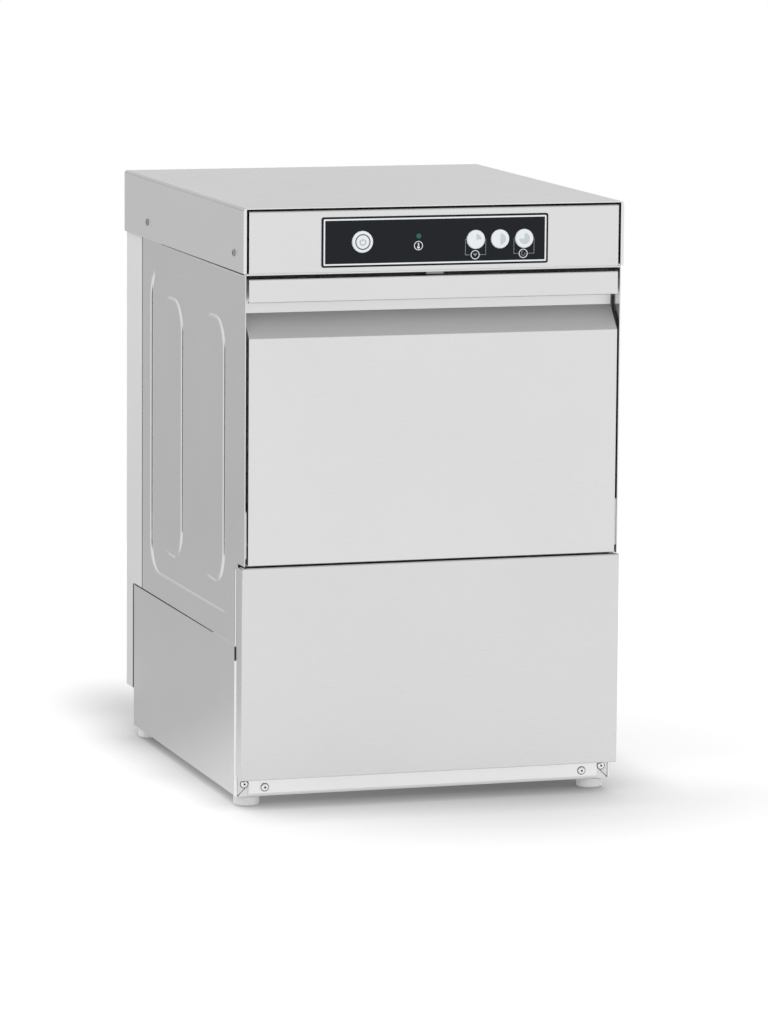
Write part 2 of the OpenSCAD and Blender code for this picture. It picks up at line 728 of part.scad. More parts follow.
// Screws: a low pan head with a hexagon socket
module pan_screw() difference() {
  rotate_extrude()
    polygon([[0, 0], [screw_head_r - 0.8, 0], [screw_head_r, 0.8], [screw_head_r, screw_head_h],
             [screw_r, screw_head_h], [screw_r, screw_head_h + screw_len], [0, screw_head_h + screw_len]]);
  translate([0, 0, -over]) cylinder(r = 1.7, h = over + 1.3, $fn = 6);
}
module cover_screws() color(dark_steel) {
  both_sides() for (y = cover_screw_y)
    translate([half_w + screw_head_h, y, cover_screw_z]) rotate([0, -90, 0]) pan_screw();
  both_sides()
    translate([cover_back_x, cabinet_d + screw_head_h, cover_screw_z]) rotate([90, 0, 0]) pan_screw();
}
module base_screws() color(dark_steel) both_sides() {
  translate([service_screw_x, base_y0 - sheet - screw_head_h, service_screw_z])
    rotate([-90, 0, 0]) pan_screw();
  translate([corner_screw_x, base_y0 - screw_head_h, corner_screw_z]) rotate([-90, 0, 0]) pan_screw();
}

// Control panel, fascia, lamp, switches and buttons
module button_holes(y0, y1) {
  rod_y(power_r + button_gap, power_at, y0, y1, fascia_z);
  for (x = cycle_at) rod_y(cycle_r + button_gap, x, y0, y1, fascia_z);
  rod_y(lamp_r + 0.15, fascia_x + lamp_x, y0, y1, fascia_z + lamp_rise);
}
module control_panel() color(steel) {
  low = hem_z1 + half_sheet;
  top = panel_top - half_sheet;
  back = flange_w + 4;
  path = [[back, top], [half_sheet, top], [half_sheet, low], [back, low]];
  difference() {
    along_x(-panel_half, panel_half) polygon(thick(folded(path)));
    button_holes(-over, sheet + over);
  }
}
module control_fascia() color(black) difference() {
  along_y(-fascia_t, 0) polygon(round_rect(fascia_x - fascia_w / 2, fascia_z - fascia_h / 2,
    fascia_x + fascia_w / 2, fascia_z + fascia_h / 2, 2.5));
  button_holes(-fascia_t - over, over);
}
module indicator_lamp() color("teal") spun_y(fascia_x + lamp_x, fascia_z + lamp_rise) {
  tip = -fascia_t - 1;
  polygon([[0, tip], [lamp_r * 0.6, tip + 0.2], [lamp_r, tip + 1], [lamp_r, sheet], [lamp_r + 1.2, sheet],
           [lamp_r + 1.2, sheet + 3], [0, sheet + 3]]);
}
module switch_cup(x, r) spun_y(x, fascia_z) {
  inner = r + collar_w + cup_gap;
  back = cup_y + cup_floor;
  polygon([[inner, sheet], [inner + cup_wall, sheet], [inner + cup_wall, back], [stem_r + cup_gap, back],
           [stem_r + cup_gap, cup_y], [inner, cup_y]]);
}
module push_switches() color(grey) {
  switch_cup(power_at, power_r);
  for (x = cycle_at) switch_cup(x, cycle_r);
}
module push_button(x, r) color(white) spun_y(x, fascia_z) {
  edge = 0.8;
  stem_end = cup_y + cup_floor - 1;
  polygon([[0, -button_proud], [r - edge, -button_proud], [r, -button_proud + edge], [r, collar_y],
           [r + collar_w, collar_y], [r + collar_w, collar_y + collar_t], [stem_r, collar_y + collar_t],
           [stem_r, stem_end], [0, stem_end]]);
}
module power_button() push_button(power_at, power_r);
module cycle_button_short() push_button(cycle_at[0], cycle_r);
module cycle_button_medium() push_button(cycle_at[1], cycle_r);
module cycle_button_long() push_button(cycle_at[2], cycle_r);

// Control board on four pillars above the ceiling, with its relays and connectors
module control_board() color("darkgreen") {
  z0 = ceiling_z + sheet;
  top_z = z0 + board_lift + board_t;
  seat = top_z - board_t / 2;
  x1 = board_x + board_w;
  y0 = arm_y - board_front;
  y1 = y0 + board_d;
  relays = 6;
  plugs = 3;
  for (x = [board_x + board_edge, x1 - board_edge], y = [y0 + board_edge, y1 - board_edge])
    rod_z(board_edge / 2, x, y, z0, seat);
  along_z(top_z - board_t, top_z) polygon(round_rect(board_x, y0, x1, y1, board_edge / 2));
  for (i = [0:relays - 1]) translate([board_x + board_w * (0.1 + 0.14 * i), y0 + board_d * 0.66, seat])
    cube([board_w * 0.1, board_d * 0.22, relay_h]);
  for (i = [0:plugs - 1]) translate([board_x + board_w * (0.12 + 0.27 * i), y0 + board_d * 0.15, seat])
    cube([board_w * 0.18, board_d * 0.07, relay_h * 0.7]);
  translate([board_x + board_w * 0.16, y0 + board_d * 0.32, seat])
    cube([board_w * 0.19, board_d * 0.25, relay_h * 1.6]);
}

// Door furniture on the cabinet
module door_catch() color(grey) {
  half = 10;
  gap = 1.4;
  under = door_z1 + gap;
  along_x(-half, half)
    polygon([[2, under], [2, rail_z0], [frame_y - fold_r, rail_z0], [frame_y, rail_z0 - fold_r],
             [frame_y, frame_top - 8], [frame_y - 2.1, frame_top - 8], [frame_y - 2.1, under]]);
}
module hinge_brackets() color(dark_steel) both_sides() {
  plate = wall_in - hinge_plate_t;
  along_x(plate, wall_in) polygon(round_rect(3, hinge_z - 17.8, frame_y - 1, hinge_z + 38.2, 4));
  rod_x(pin_r, plate - pin_len, plate + hinge_plate_t / 2, hinge_back, hinge_z);
}

// Chamber furniture
module rack_rails() color(dark_steel) both_sides() {
  posts = [press_y0 + press_run + 12, slot_y0 + (slot_w + slot_pitch) / 2, press_y1 - press_run - 15];
  ends = [basin_y0 - 2, rear_in - 14];
  rod_y(rail_r, rail_x, ends[0], ends[1], rail_z);
  for (y = ends) translate([rail_x, y, rail_z]) sphere(rail_r);
  for (y = posts) {
    rod_x(rail_r - 0.5, rail_x, press_in, y, rail_z);
    rod_x(7, press_in - 2, press_in, y, rail_z);
  }
}
module tank_filter() color(dark_steel) along_z(tank_rim, tank_rim + sheet) {
  lap = 7;
  pitch = 26;
  hole_r = 4;
  count = floor((basin_half - 12) / pitch);
  rows = floor((basin_y1 - basin_y0 - 24) / pitch / 2);
  difference() {
    polygon(round_rect(-basin_half - lap, basin_y0 - lap, basin_half + lap, basin_y1 + lap, tank_r));
    translate([0, arm_y]) circle(23);
    translate([overflow_x, overflow_y]) circle(drain_r + 3);
    for (i = [-count:count], j = [-rows:rows])
      let (p = [i * pitch, (basin_y0 + basin_y1) / 2 + j * pitch])
        if (norm(p - [0, arm_y]) > 38 && norm(p - [overflow_x, overflow_y]) > 32) translate(p) circle(hole_r);
  }
}
module pump_strainer() color(dark_steel) translate([suction_x, pump_y, tank_floor]) difference() {
  height = 42;
  slots = 12;
  rotate_extrude() polygon([[15, 0], [strainer_r, 0], [strainer_r, height], [0, height], [0, height - 2],
                            [strainer_r - 2, height - 2], [strainer_r - 2, 2], [15, 2]]);
  for (i = [0:slots - 1]) rotate(i * 360 / slots) translate([strainer_r - 5, -2, 8])
    cube([10, 4, height - 16]);
}
module tank_heater() color(copper) {
  back = pump_y - 30;
  front = basin_y0 - sheet - 14;
  flange = basin_y0 - sheet;
  pipe_run([[heater_x[0], front, heater_z], [heater_x[0], back, heater_z], [heater_x[1], back, heater_z],
            [heater_x[1], front, heater_z]], heater_r, 24);
  along_y(flange - 4, flange)
    polygon(round_rect(heater_x[0] - 14, heater_z - 11, heater_x[1] + 14, heater_z + 11, 10));
}

// Arm spindle from its thrust face up: two bearings and a thread for the nut
function spindle_outline() =
  [[wash_journal_r, 0], [wash_journal_r, shoulder_h], [rinse_journal_r, shoulder_h],
   [rinse_journal_r, nut_0], [thread_r, nut_0], [thread_r, nut_0 + nut_h - 2], [0, nut_0 + nut_h - 2]];
module at_lower_spindle() translate([0, arm_y, lower_thrust]) children();
module at_upper_spindle() translate([0, arm_y, upper_thrust]) mirror([0, 0, 1]) children();

module arm_pillar() color(dark_steel) at_lower_spindle() {
  foot_z = tank_floor - lower_thrust;
  rotate_extrude() polygon(concat([[0, foot_z], [pillar_foot_r, foot_z],
    [pillar_foot_r, foot_z + pillar_foot_t], [pillar_r, foot_z + pillar_foot_t], [pillar_r, 0]],
    spindle_outline()));
}
// Fluted nut that holds the arms on their spindle
module arm_nut() difference() {
  rotate_extrude() polygon([[thread_r + 0.1, nut_0], [15, nut_0], [17, nut_0 + 2], [17, nut_0 + nut_h - 3],
                            [13, nut_0 + nut_h], [thread_r + 0.1, nut_0 + nut_h]]);
  for (i = [0:5]) rotate(60 * i) rod_z(4, 19, 0, nut_0 - over, nut_0 + nut_h + over);
}
module lower_arm_nut() color(black) at_lower_spindle() arm_nut();
module upper_arm_nut() color(black) at_upper_spindle() arm_nut();

module upper_manifold() color(dark_steel) {
  hub_r = 22;
  rear_flange_t = 3;
  root = upper_thrust - ceiling_z;
  at_upper_spindle() rotate_extrude()
    polygon(concat([[0, root], [hub_r, root], [hub_r, 0]], spindle_outline()));
  rod_y(wash_pipe_r, 0, arm_y, rear_in, upper_pipe_z);
  pipe_run([[-rinse_offset, rear_in, upper_pipe_z], [-rinse_offset, arm_y, upper_pipe_z],
            [0, arm_y, upper_pipe_z]], rinse_pipe_r, 12);
  along_y(rear_in - rear_flange_t, rear_in)
    polygon(round_rect(-rinse_offset - 12, upper_pipe_z - 13.5, 22, upper_pipe_z + 13.5, 13));
}

// Arms. The wash arm is a flat tapered tube with slotted jets, the rinse arm a thin tube with round jets.
function arm_outline(reach, root, tip, n = 6) =
  let (half = [for (k = [-n:n]) [reach - tip + tip * cos(90 * k / n), tip * sin(90 * k / n)]])
  concat([[0, -root]], half, [[0, root]], [for (q = half) -q]);
module wash_arm(angle) color(steel) rotate(angle) difference() {
  z0 = wash_hub_0 + 2;
  z1 = wash_hub_0 + wash_hub_h - 2;
  wall = 1.2;
  hub_r = wash_journal_r + 9;
  union() {
    along_z(z0, z1) polygon(arm_outline(arm_r, hub_r - 6, 9));
    rod_z(hub_r, 0, 0, wash_hub_0, wash_hub_0 + wash_hub_h);
  }
  difference() {
    along_z(z0 + wall, z1 - wall) polygon(arm_outline(arm_r - wall, hub_r - 6 - wall, 9 - wall));
    rod_z(hub_r - 3, 0, 0, z0, z1);
  }
  rod_z(wash_journal_r + run_fit, 0, 0, -over, wash_hub_0 + wash_hub_h + over);
  for (s = [0, 180], i = [0:4])
    rotate(s) translate([48 + 30 * i, (i % 2 == 0 ? 3 : -3), z1 - wall - over])
      rotate(i * 12) along_z(0, wall + 2 * over) square([3, 11], center = true);
}
module rinse_arm(angle) color(steel) rotate(angle) {
  tube_r = rinse_hub_h / 2 - 0.6;
  axis_z = rinse_hub_0 + rinse_hub_h / 2;
  hub_r = rinse_journal_r + 6;
  reach = arm_r - 12;
  difference() {
    union() {
      rod_z(hub_r, 0, 0, rinse_hub_0, rinse_hub_0 + rinse_hub_h);
      for (s = [0, 180]) rotate(s) {
        rod_x(tube_r, 0, reach - tube_r, 0, axis_z);
        translate([reach - tube_r, 0, axis_z]) sphere(tube_r);
        for (i = [0:3]) rod_z(3.2, 40 + 38 * i, 0, axis_z, axis_z + tube_r + 1);
      }
    }
    rod_z(rinse_journal_r + run_fit, 0, 0, rinse_hub_0 - over, rinse_hub_0 + rinse_hub_h + over);
    for (s = [0, 180], i = [0:3]) rotate(s) rod_z(1, 40 + 38 * i, 0, axis_z, axis_z + tube_r + over + 1);
  }
}
module lower_wash_arm() at_lower_spindle() wash_arm(20);
module lower_rinse_arm() at_lower_spindle() rinse_arm(-50);
module upper_wash_arm() at_upper_spindle() wash_arm(-25);
module upper_rinse_arm() at_upper_spindle() rinse_arm(40);

// Overflow pipe that stands in the drain and lifts out to empty the tank
module overflow_pipe() color(grey) translate([overflow_x, overflow_y, tank_floor]) {
  spigot = drain_bore - run_fit;
  bore = drain_bore - 2.5;
  grip_z = overflow_h + 22;
  rotate_extrude() polygon([[bore, -9], [spigot - 1, -9], [spigot, -8], [spigot, 0], [drain_r + 2, 0],
    [drain_r + 2, 4], [spigot, 4], [spigot, overflow_h], [bore, overflow_h]]);
  rod_x(3, -spigot + 0.5, spigot - 0.5, 0, overflow_h - 6);
  rod_z(4, 0, 0, overflow_h - 8, grip_z);
  translate([0, 0, grip_z]) sphere(8);
}

// Pipes below the tank and up the rear duct
module delivery_pipe() color(grey)
  pipe([[[0, arm_y, tank_under], [0, arm_y, main_z], [0, riser_y, main_z], [0, riser_y, upper_pipe_z],
         [0, rear_in + sheet, upper_pipe_z]],
        [[outlet[0], outlet[1], outlet_z], [outlet[0], outlet[1], main_z], [0, outlet[1], main_z]]],
       wash_pipe_r, pipe_wall, wash_pipe_r + 2);
module rinse_pipes() color(copper) {
  valve_y = base_y1 - sheet - valve_len;
  boss_y = boiler_y1 + boss_h;
  turn_y = boss_y + (valve_y - boss_y) * 0.66;
  pipe([[[boiler_x, arm_y, boiler_z + boiler_r + boss_h], [boiler_x, arm_y, rinse_z],
         [-rinse_in, arm_y, rinse_z], [-rinse_in, arm_y, tank_under]],
        [[boiler_x, arm_y, rinse_z], [boiler_x, riser_y, rinse_z], [-rinse_offset, riser_y, rinse_z],
         [-rinse_offset, riser_y, upper_pipe_z], [-rinse_offset, rear_in + sheet, upper_pipe_z]]],
       rinse_pipe_r, pipe_wall, rinse_pipe_r + 2);
  pipe([[[inlet_x, valve_y, fitting_z], [inlet_x, turn_y, fitting_z], [inlet_x, turn_y, boss_z],
         [inlet_x, boss_y, boss_z]]], rinse_pipe_r, pipe_wall, rinse_pipe_r + 4);
}
module suction_hose() color(black)
  pipe([[[suction_x, pump_y, tank_under], [suction_x, pump_y, pump_z],
         [pump_x0 - hose_end, pump_y, pump_z]]], hose_r, hose_wall, hose_bend);
module drain_pipe() color(grey) {
  tip = cabinet_d - 8;
  pipe([[[overflow_x, overflow_y, tank_under], [overflow_x, overflow_y, fitting_z],
         [overflow_x, tip, fitting_z]]], drain_r, drain_wall, 18);
  spun_y(overflow_x, fitting_z) polygon([[drain_r - drain_wall / 2, base_y1], [drain_r + 3, base_y1],
    [drain_r + 3, base_y1 + 4], [drain_r - drain_wall / 2, base_y1 + 4]]);
}

// Wash pump: casing, rotor and motor on one axis across the machine
module pump_casing() color(grey) difference() {
  x1 = pump_x0 + pump_len;
  union() {
    rod_x(pump_r, pump_x0, x1, pump_y, pump_z);
    rod_x(pump_r + 4, x1 - pump_wall, x1, pump_y, pump_z);
    rod_x(hose_r + 1, pump_x0 - hose_end, pump_x0 + 3, pump_y, pump_z);
    rod_z(wash_pipe_r + 2, outlet[0], outlet[1], pump_z, outlet_z);
    along_x(pump_x0 + 4, x1)
      polygon([[pump_y - 34, tray_z], [pump_y + 34, tray_z], [pump_y + 24, pump_z - 30],
               [pump_y - 24, pump_z - 30]]);
  }
  rod_x(pump_r - pump_wall, pump_x0 + pump_wall - 2, x1 - pump_wall, pump_y, pump_z);
  rod_x(hose_r - hose_wall, pump_x0 - hose_end - over, pump_x0 + pump_wall - over, pump_y, pump_z);
  rod_x(shaft_r + 0.5, x1 - pump_wall - over, x1 + over, pump_y, pump_z);
  rod_z(wash_pipe_r - pipe_wall, outlet[0], outlet[1], pump_z, outlet_z + over);
}
module pump_rotor() color(white) {
  disc_x = pump_x0 + pump_len - 16;
  vane_r = pump_r - 12;
  vanes = 6;
  rod_x(vane_r, disc_x - 4, disc_x, pump_y, pump_z);
  rod_x(10, disc_x - 20, disc_x, pump_y, pump_z);
  rod_x(shaft_r, disc_x - 1, pump_x0 + pump_len + 40, pump_y, pump_z);
  translate([disc_x - 18, pump_y, pump_z]) for (i = [0:vanes - 1]) rotate([i * 360 / vanes, 0, 0])
    rotate([90, 0, 90]) linear_extrude(15) polygon(thick([for (k = [0:5]) let (r = 8 + (vane_r - 9) * k / 5)
      r * [cos(9 * k), sin(9 * k)]], 2.5));
}
module pump_motor() color(dark_steel) {
  x0 = pump_x0 + pump_len;
  fins = 20;
  fin_h = 3;
  cap_x = x0 + motor_len - 26;
  difference() {
    union() {
      rod_x(motor_r - 4, x0, cap_x + 10, pump_y, pump_z);
      for (i = [0:fins - 1]) translate([x0 + 10, pump_y, pump_z]) rotate([i * 360 / fins, 0, 0])
        translate([0, motor_r - 6, -1]) cube([cap_x - x0 - 8, fin_h + 2, 2]);
      rod_x(motor_r, cap_x, x0 + motor_len, pump_y, pump_z);
      along_x(x0 + 24, cap_x - 8) polygon([[pump_y - 36, tray_z], [pump_y + 36, tray_z],
        [pump_y + 28, pump_z - 30], [pump_y - 28, pump_z - 30]]);
    }
    rod_x(shaft_r + run_fit, x0 - over, x0 + 42, pump_y, pump_z);
  }
}

// Boiler on two saddles, with a filling boss behind and a rinse boss on top
module boiler_body(wall) spun_y(boiler_x, boiler_z) {
  dish = 8;
  r = boiler_r - wall;
  y0 = boiler_y0 + wall;
  y1 = boiler_y1 - wall;
  polygon([[0, y0], [r - dish, y0], [r, y0 + dish], [r, y1 - dish], [r - dish, y1], [0, y1]]);
}
module boiler() color(steel) difference() {
  saddle = 46;
  saddle_t = 4;
  bore_r = rinse_pipe_r - pipe_wall;
  top_z = boiler_z + boiler_r + boss_h;
  union() {
    boiler_body(0);
    for (y = [boiler_y0 + 30, boiler_y1 - 40]) translate([boiler_x, 0, 0]) along_y(y, y + saddle_t)
      polygon([[-saddle, tray_z], [saddle, tray_z], [saddle - 6, boiler_z - 20],
               [6 - saddle, boiler_z - 20]]);
    rod_y(boss_r, inlet_x, boiler_y1 - 4, boiler_y1 + boss_h, boss_z);
    rod_z(boss_r, boiler_x, arm_y, boiler_z + boiler_r - 4, top_z);
  }
  boiler_body(pipe_wall);
  rod_y(bore_r, inlet_x, boiler_y1 - 8, boiler_y1 + boss_h + over, boss_z);
  rod_z(bore_r, boiler_x, arm_y, boiler_z + boiler_r - 8, top_z + over);
}

// Water inlet valve: a moulded body inside, a threaded tail through the base's rear wall
module inlet_valve() color(white) {
  inside = base_y1 - sheet;
  difference() {
    union() {
      rod_y(inlet_r, inlet_x, inside - 20, base_y1 + 24, fitting_z);
      rod_y(inlet_r + 4, inlet_x, inside - 6, inside, fitting_z);
      rod_y(inlet_r + 4, inlet_x, base_y1, base_y1 + 4, fitting_z, $fn = 6);
      along_y(inside - valve_len, inside - 5)
        polygon(round_rect(inlet_x - 16, fitting_z - 14, inlet_x + 16, fitting_z + 14, 5));
      rod_z(11, inlet_x, inside - 22, fitting_z + 8, fitting_z + 48);
    }
    rod_y(inlet_r - 4, inlet_x, inside - 10, base_y1 + 24 + over, fitting_z);
  }
}
module cable_gland() color(black) difference() {
  inside = base_y1 - sheet;
  thread = gland_bore_r + 3.3;
  union() {
    rod_y(thread, gland_x, inside - 8, base_y1 + 5, fitting_z);
    rod_y(thread + 5.5, gland_x, inside - 5, inside, fitting_z, $fn = 6);
    rod_y(thread + 5.5, gland_x, base_y1, base_y1 + 6, fitting_z, $fn = 6);
    spun_y(gland_x, fitting_z) polygon([[gland_bore_r, base_y1 + 5], [thread + 3.5, base_y1 + 5],
      [thread + 3.5, base_y1 + 13], [thread - 0.5, base_y1 + 20], [gland_bore_r, base_y1 + 20]]);
  }
  rod_y(gland_bore_r, gland_x, inside - 8 - over, base_y1 + 20 + over, fitting_z);
}
module rinse_aid_doser() color(white) {
  mid = doser_x + doser_w / 2;
  top = tray_z + doser_h;
  along_z(tray_z, top)
    polygon(round_rect(doser_x, doser_y, doser_x + doser_w, doser_y + doser_w, doser_w / 9));
  rod_y(doser_w * 0.41, mid, doser_y - doser_w * 0.3, doser_y + 1, tray_z + doser_h * 0.55);
  for (s = [-1, 1]) rod_z(3, mid + s * doser_w / 4, doser_y + doser_w / 4, top - 1, top + 12);
}
module terminal_block() color(black) {
  x0 = gland_x - block_w / 2;
  y0 = base_y1 - block_back;
  top = tray_z + block_h;
  wells = 5;
  difference() {
    along_z(tray_z, top) polygon(round_rect(x0, y0, x0 + block_w, y0 + block_d, 2));
    for (i = [0:wells - 1]) rod_z(block_w / 17, x0 + block_w * (i + 0.6) / (wells + 0.2), y0 + block_d / 2,
      tray_z + block_h * 0.6, top + over);
  }
}

// Door: one folded outer skin with the handle in its profile, an inner liner, bushes and a strike
module door_skin() color(steel) {
  slope_z1 = door_z1 - recess_h;
  slope_z0 = slope_z1 - slope_h;
  lip_z0 = door_z1 - lip_h;
  y = half_sheet;
  path = [[taper_y - sheet, door_z0 + y], [y, door_z0 + y], [y, slope_z0], [handle_d + y, slope_z1],
          [handle_d + y, door_z1 - y], [y, door_z1 - y], [y, lip_z0 + y], [6, lip_z0 + y]];
  short = 0.1;
  rear = door_t - sheet - short;
  cheek = [[y, door_z0 + y + 1], [y + 1, door_z0 + y], [taper_y - sheet - short, door_z0 + y],
           [taper_y - sheet - short, door_z0 + 6], [rear, taper_z], [rear, door_z1 - sheet - short],
           [handle_d + y, door_z1 - sheet - short], [handle_d + y, slope_z1], [y, slope_z0]];
  difference() {
    union() {
      along_x(-door_half, door_half) polygon(thick(folded(path)));
      both_sides() along_x(door_half - sheet, door_half) polygon(cheek);
    }
    both_sides() rod_x(bush_r + bush_fit, door_half - sheet - over, door_half + over, hinge_back, hinge_z);
  }
}
module door_liner() color(steel) {
  y = door_t - half_sheet;
  half = door_half - sheet;
  path = [[taper_y - half_sheet, door_z0], [taper_y - half_sheet, door_z0 + 6], [y, taper_z],
          [y, door_z1 - half_sheet], [handle_d + sheet, door_z1 - half_sheet]];
  pan = [-open_half + 14, taper_z + 16, open_half - 14, ceiling_z - 34];
  pan_d = 4;
  lead = 0.4;
  difference() {
    union() {
      along_x(-half, half) polygon(thick(folded(path)));
      pressing_y(door_t, pan_d, lead, 8, pan, 24);
    }
    pressing_y(door_t - sheet, pan_d, lead, 8, pan, 24);
  }
}
module hinge_bushes() color(black) both_sides() {
  collar_x = door_half - sheet;
  translate([0, hinge_back, hinge_z]) rotate([0, 90, 0]) rotate_extrude()
    polygon([[pin_r + run_fit, door_half - 14.5], [bush_r, door_half - 14.5], [bush_r, collar_x - 3],
             [bush_r + 0.8, collar_x - 3], [bush_r + 0.8, collar_x], [bush_r, collar_x], [bush_r, door_half],
             [pin_r + run_fit, door_half]]);
}
module door_strike() color(dark_steel) along_y(door_t, door_t + 1.4)
  polygon(round_rect(-10, frame_top - 8, 10, door_z1 - 1.3, 1.5));

place() base_frame();
place() base_panel_left();
place() base_panel_right();
place() left_wall();
place() right_wall();
place() rear_wall();
place() ceiling();
place() door_frame();
place() door_gasket();
place() tank();
place() rear_cover();
place() top_cover();
place() control_panel();
place() control_fascia();
place() indicator_lamp();
place() service_panel();
place() cover_screws();
place() base_screws();
place() control_board();
place() push_switches();
place() door_catch();
place() hinge_brackets();
place() rack_rails();
place() tank_filter();
place() pump_strainer();
place() tank_heater();
place() arm_pillar();
place() lower_arm_nut();
place() upper_manifold();
place() upper_arm_nut();
place() delivery_pipe();
place() rinse_pipes();
place() suction_hose();
place() pump_motor();
place() pump_casing();
place() boiler();
place() inlet_valve();
place() drain_pipe();
place() cable_gland();
place() rinse_aid_doser();
place() terminal_block();
place() door_skin();
place() door_liner();
place() hinge_bushes();
place() door_strike();
place() power_button();
place() cycle_button_short();
place() cycle_button_medium();
place() cycle_button_long();
place() lower_wash_arm();
place() lower_rinse_arm();
place() upper_wash_arm();
place() upper_rinse_arm();
place() overflow_pipe();
place() pump_rotor();
place() foot(0);  // foot_front_left
place() foot(1);  // foot_rear_left
place() foot(2);  // foot_front_right
place() foot(3);  // foot_rear_right
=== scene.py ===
# %% [markdown]
# # An undercounter dishwasher in satin stainless sheet
# The machine is a box of thin folded sheets: a cover like a shoe-box lid, two pressed side walls, a drop-down
# door with the handle folded into it, and a base that stands on four feet. The construction model gives every
# piece its size and place. This lesson gives the pieces their edges, finishes, print and light.

# %% Load the construction model
import json
import math

import bmesh
import bpy
from mathutils import Matrix, Vector
from mathutils.geometry import tessellate_polygon


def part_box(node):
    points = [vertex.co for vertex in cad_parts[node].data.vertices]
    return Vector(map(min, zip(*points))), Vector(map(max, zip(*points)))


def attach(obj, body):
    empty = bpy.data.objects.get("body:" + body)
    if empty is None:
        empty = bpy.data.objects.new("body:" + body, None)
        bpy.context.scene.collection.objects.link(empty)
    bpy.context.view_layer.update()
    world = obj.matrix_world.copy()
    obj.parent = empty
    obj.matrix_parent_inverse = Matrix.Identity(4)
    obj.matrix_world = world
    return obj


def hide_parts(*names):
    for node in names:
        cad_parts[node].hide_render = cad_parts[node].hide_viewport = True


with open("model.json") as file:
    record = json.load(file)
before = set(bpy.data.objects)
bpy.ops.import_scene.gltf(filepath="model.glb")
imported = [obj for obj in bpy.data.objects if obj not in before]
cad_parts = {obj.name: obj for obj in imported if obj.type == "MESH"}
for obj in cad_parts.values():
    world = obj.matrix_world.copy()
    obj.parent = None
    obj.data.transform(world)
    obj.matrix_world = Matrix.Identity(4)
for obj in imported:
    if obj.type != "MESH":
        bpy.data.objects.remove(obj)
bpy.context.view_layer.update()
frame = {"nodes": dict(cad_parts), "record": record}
MM = 0.001

# %% [markdown]
# ## Camera
# The photograph was taken from a little left of the front and slightly above, with a long lens from far away,
# so that the edges hardly run together. The three angles, the distance and the lens come from the places of
# the corners in the picture. A long lens needs no shift: aiming at the right point frames the machine.

# %% Camera
AZIMUTH = math.radians(-17.25)
ELEVATION = math.radians(8.35)
ROLL = math.radians(0.44)
CAMERA_DISTANCE = 6.218
CAMERA_AIM = Vector((0.0231, 0, 0.2904))
LENS_MM = 188.7

toward_camera = Vector((math.sin(AZIMUTH) * math.cos(ELEVATION), -math.cos(AZIMUTH) * math.cos(ELEVATION),
                        math.sin(ELEVATION)))
level_right = Vector((math.cos(AZIMUTH), math.sin(AZIMUTH), 0))
level_up = toward_camera.cross(level_right)
right = level_right * math.cos(ROLL) + level_up * math.sin(ROLL)
up = level_up * math.cos(ROLL) - level_right * math.sin(ROLL)
camera = bpy.data.objects.new("camera", bpy.data.cameras.new("camera"))
camera.data.lens = LENS_MM
camera.data.clip_end = 100
camera.matrix_world = Matrix.Translation(CAMERA_AIM + toward_camera * CAMERA_DISTANCE) @ Matrix(
    (right, up, toward_camera)).transposed().to_4x4()
bpy.context.scene.collection.objects.link(camera)
bpy.context.scene.camera = camera
bpy.context.scene.view_settings.view_transform = "Standard"
print("camera at", [round(v, 3) for v in camera.location])

# %% [markdown]
# ## Small tools
# Colours are written as the hex values that a paint shop would use, and one function turns them to the linear
# light that Blender works in. Node trees are built by one function too: it adds a node, sets its options and
# fills its sockets, with a value or with a link. A node given as a value stands for its first output. The
# other functions put meshes into the scene and read the construction model's boxes.

# %% Colour, node and mesh helpers
def linear(hex_code):
    """An sRGB hex colour as linear RGBA."""
    channels = [int(hex_code[i:i + 2], 16) / 255 for i in (1, 3, 5)]
    return [c / 12.92 if c <= 0.04045 else ((c + 0.055) / 1.055) ** 2.4 for c in channels] + [1.0]


def add(tree, kind, sockets=None, **settings):
    """Adds a node to a tree, with its settings, socket values and links."""
    made = tree.nodes.new(kind)
    for name, value in settings.items():
        setattr(made, name, value)
    for key, value in (sockets or {}).items():
        if isinstance(value, bpy.types.Node):
            value = value.outputs[0]
        if isinstance(value, bpy.types.NodeSocket):
            tree.links.new(value, made.inputs[key])
        else:
            made.inputs[key].default_value = value
    return made


def new_material(name):
    """An empty material and its tree."""
    material = bpy.data.materials.new(name)
    material.use_nodes = True
    material.node_tree.nodes.clear()
    return material, material.node_tree


def linked(name, mesh):
    """Links a mesh into the scene as a new object."""
    made = bpy.data.objects.new(name, mesh)
    bpy.context.scene.collection.objects.link(made)
    return made


def from_shape(name, shape):
    """Turns a finished bmesh into an object."""
    mesh = bpy.data.meshes.new(name)
    shape.to_mesh(mesh)
    shape.free()
    return linked(name, mesh)


def closed(name, shape):
    """Turns a closed bmesh into an object whose faces look outwards."""
    bmesh.ops.recalc_face_normals(shape, faces=shape.faces)
    return from_shape(name, shape)


def from_points(name, points, edges=()):
    """An object of loose points and edges."""
    mesh = bpy.data.meshes.new(name)
    mesh.from_pydata(points, edges, [])
    return linked(name, mesh)


def box_mm(node):
    """The low and the high corner of a construction node in mm."""
    return [[v / MM for v in corner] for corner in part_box(node)]


print("linear mid grey:", [round(v, 3) for v in linear("#808080")])

# %% [markdown]
# ## Light
# Steel shows what is around it, so the light is drawn as a room. Plain even light falls on every piece. What
# the steel mirrors is a pale backdrop, with one greyer end low down behind the machine, which is why the
# turned side walls look darker than the door. Three round screens tone it down: a narrow dark one far to the
# side, which draws the thin dark lines along the pressed panels, a grey ceiling, and a pale one behind, which
# the top mirrors. The camera sees plain white, as a cut-out product picture has it. Lamps would add hard
# spots to the sheet, so there are none.

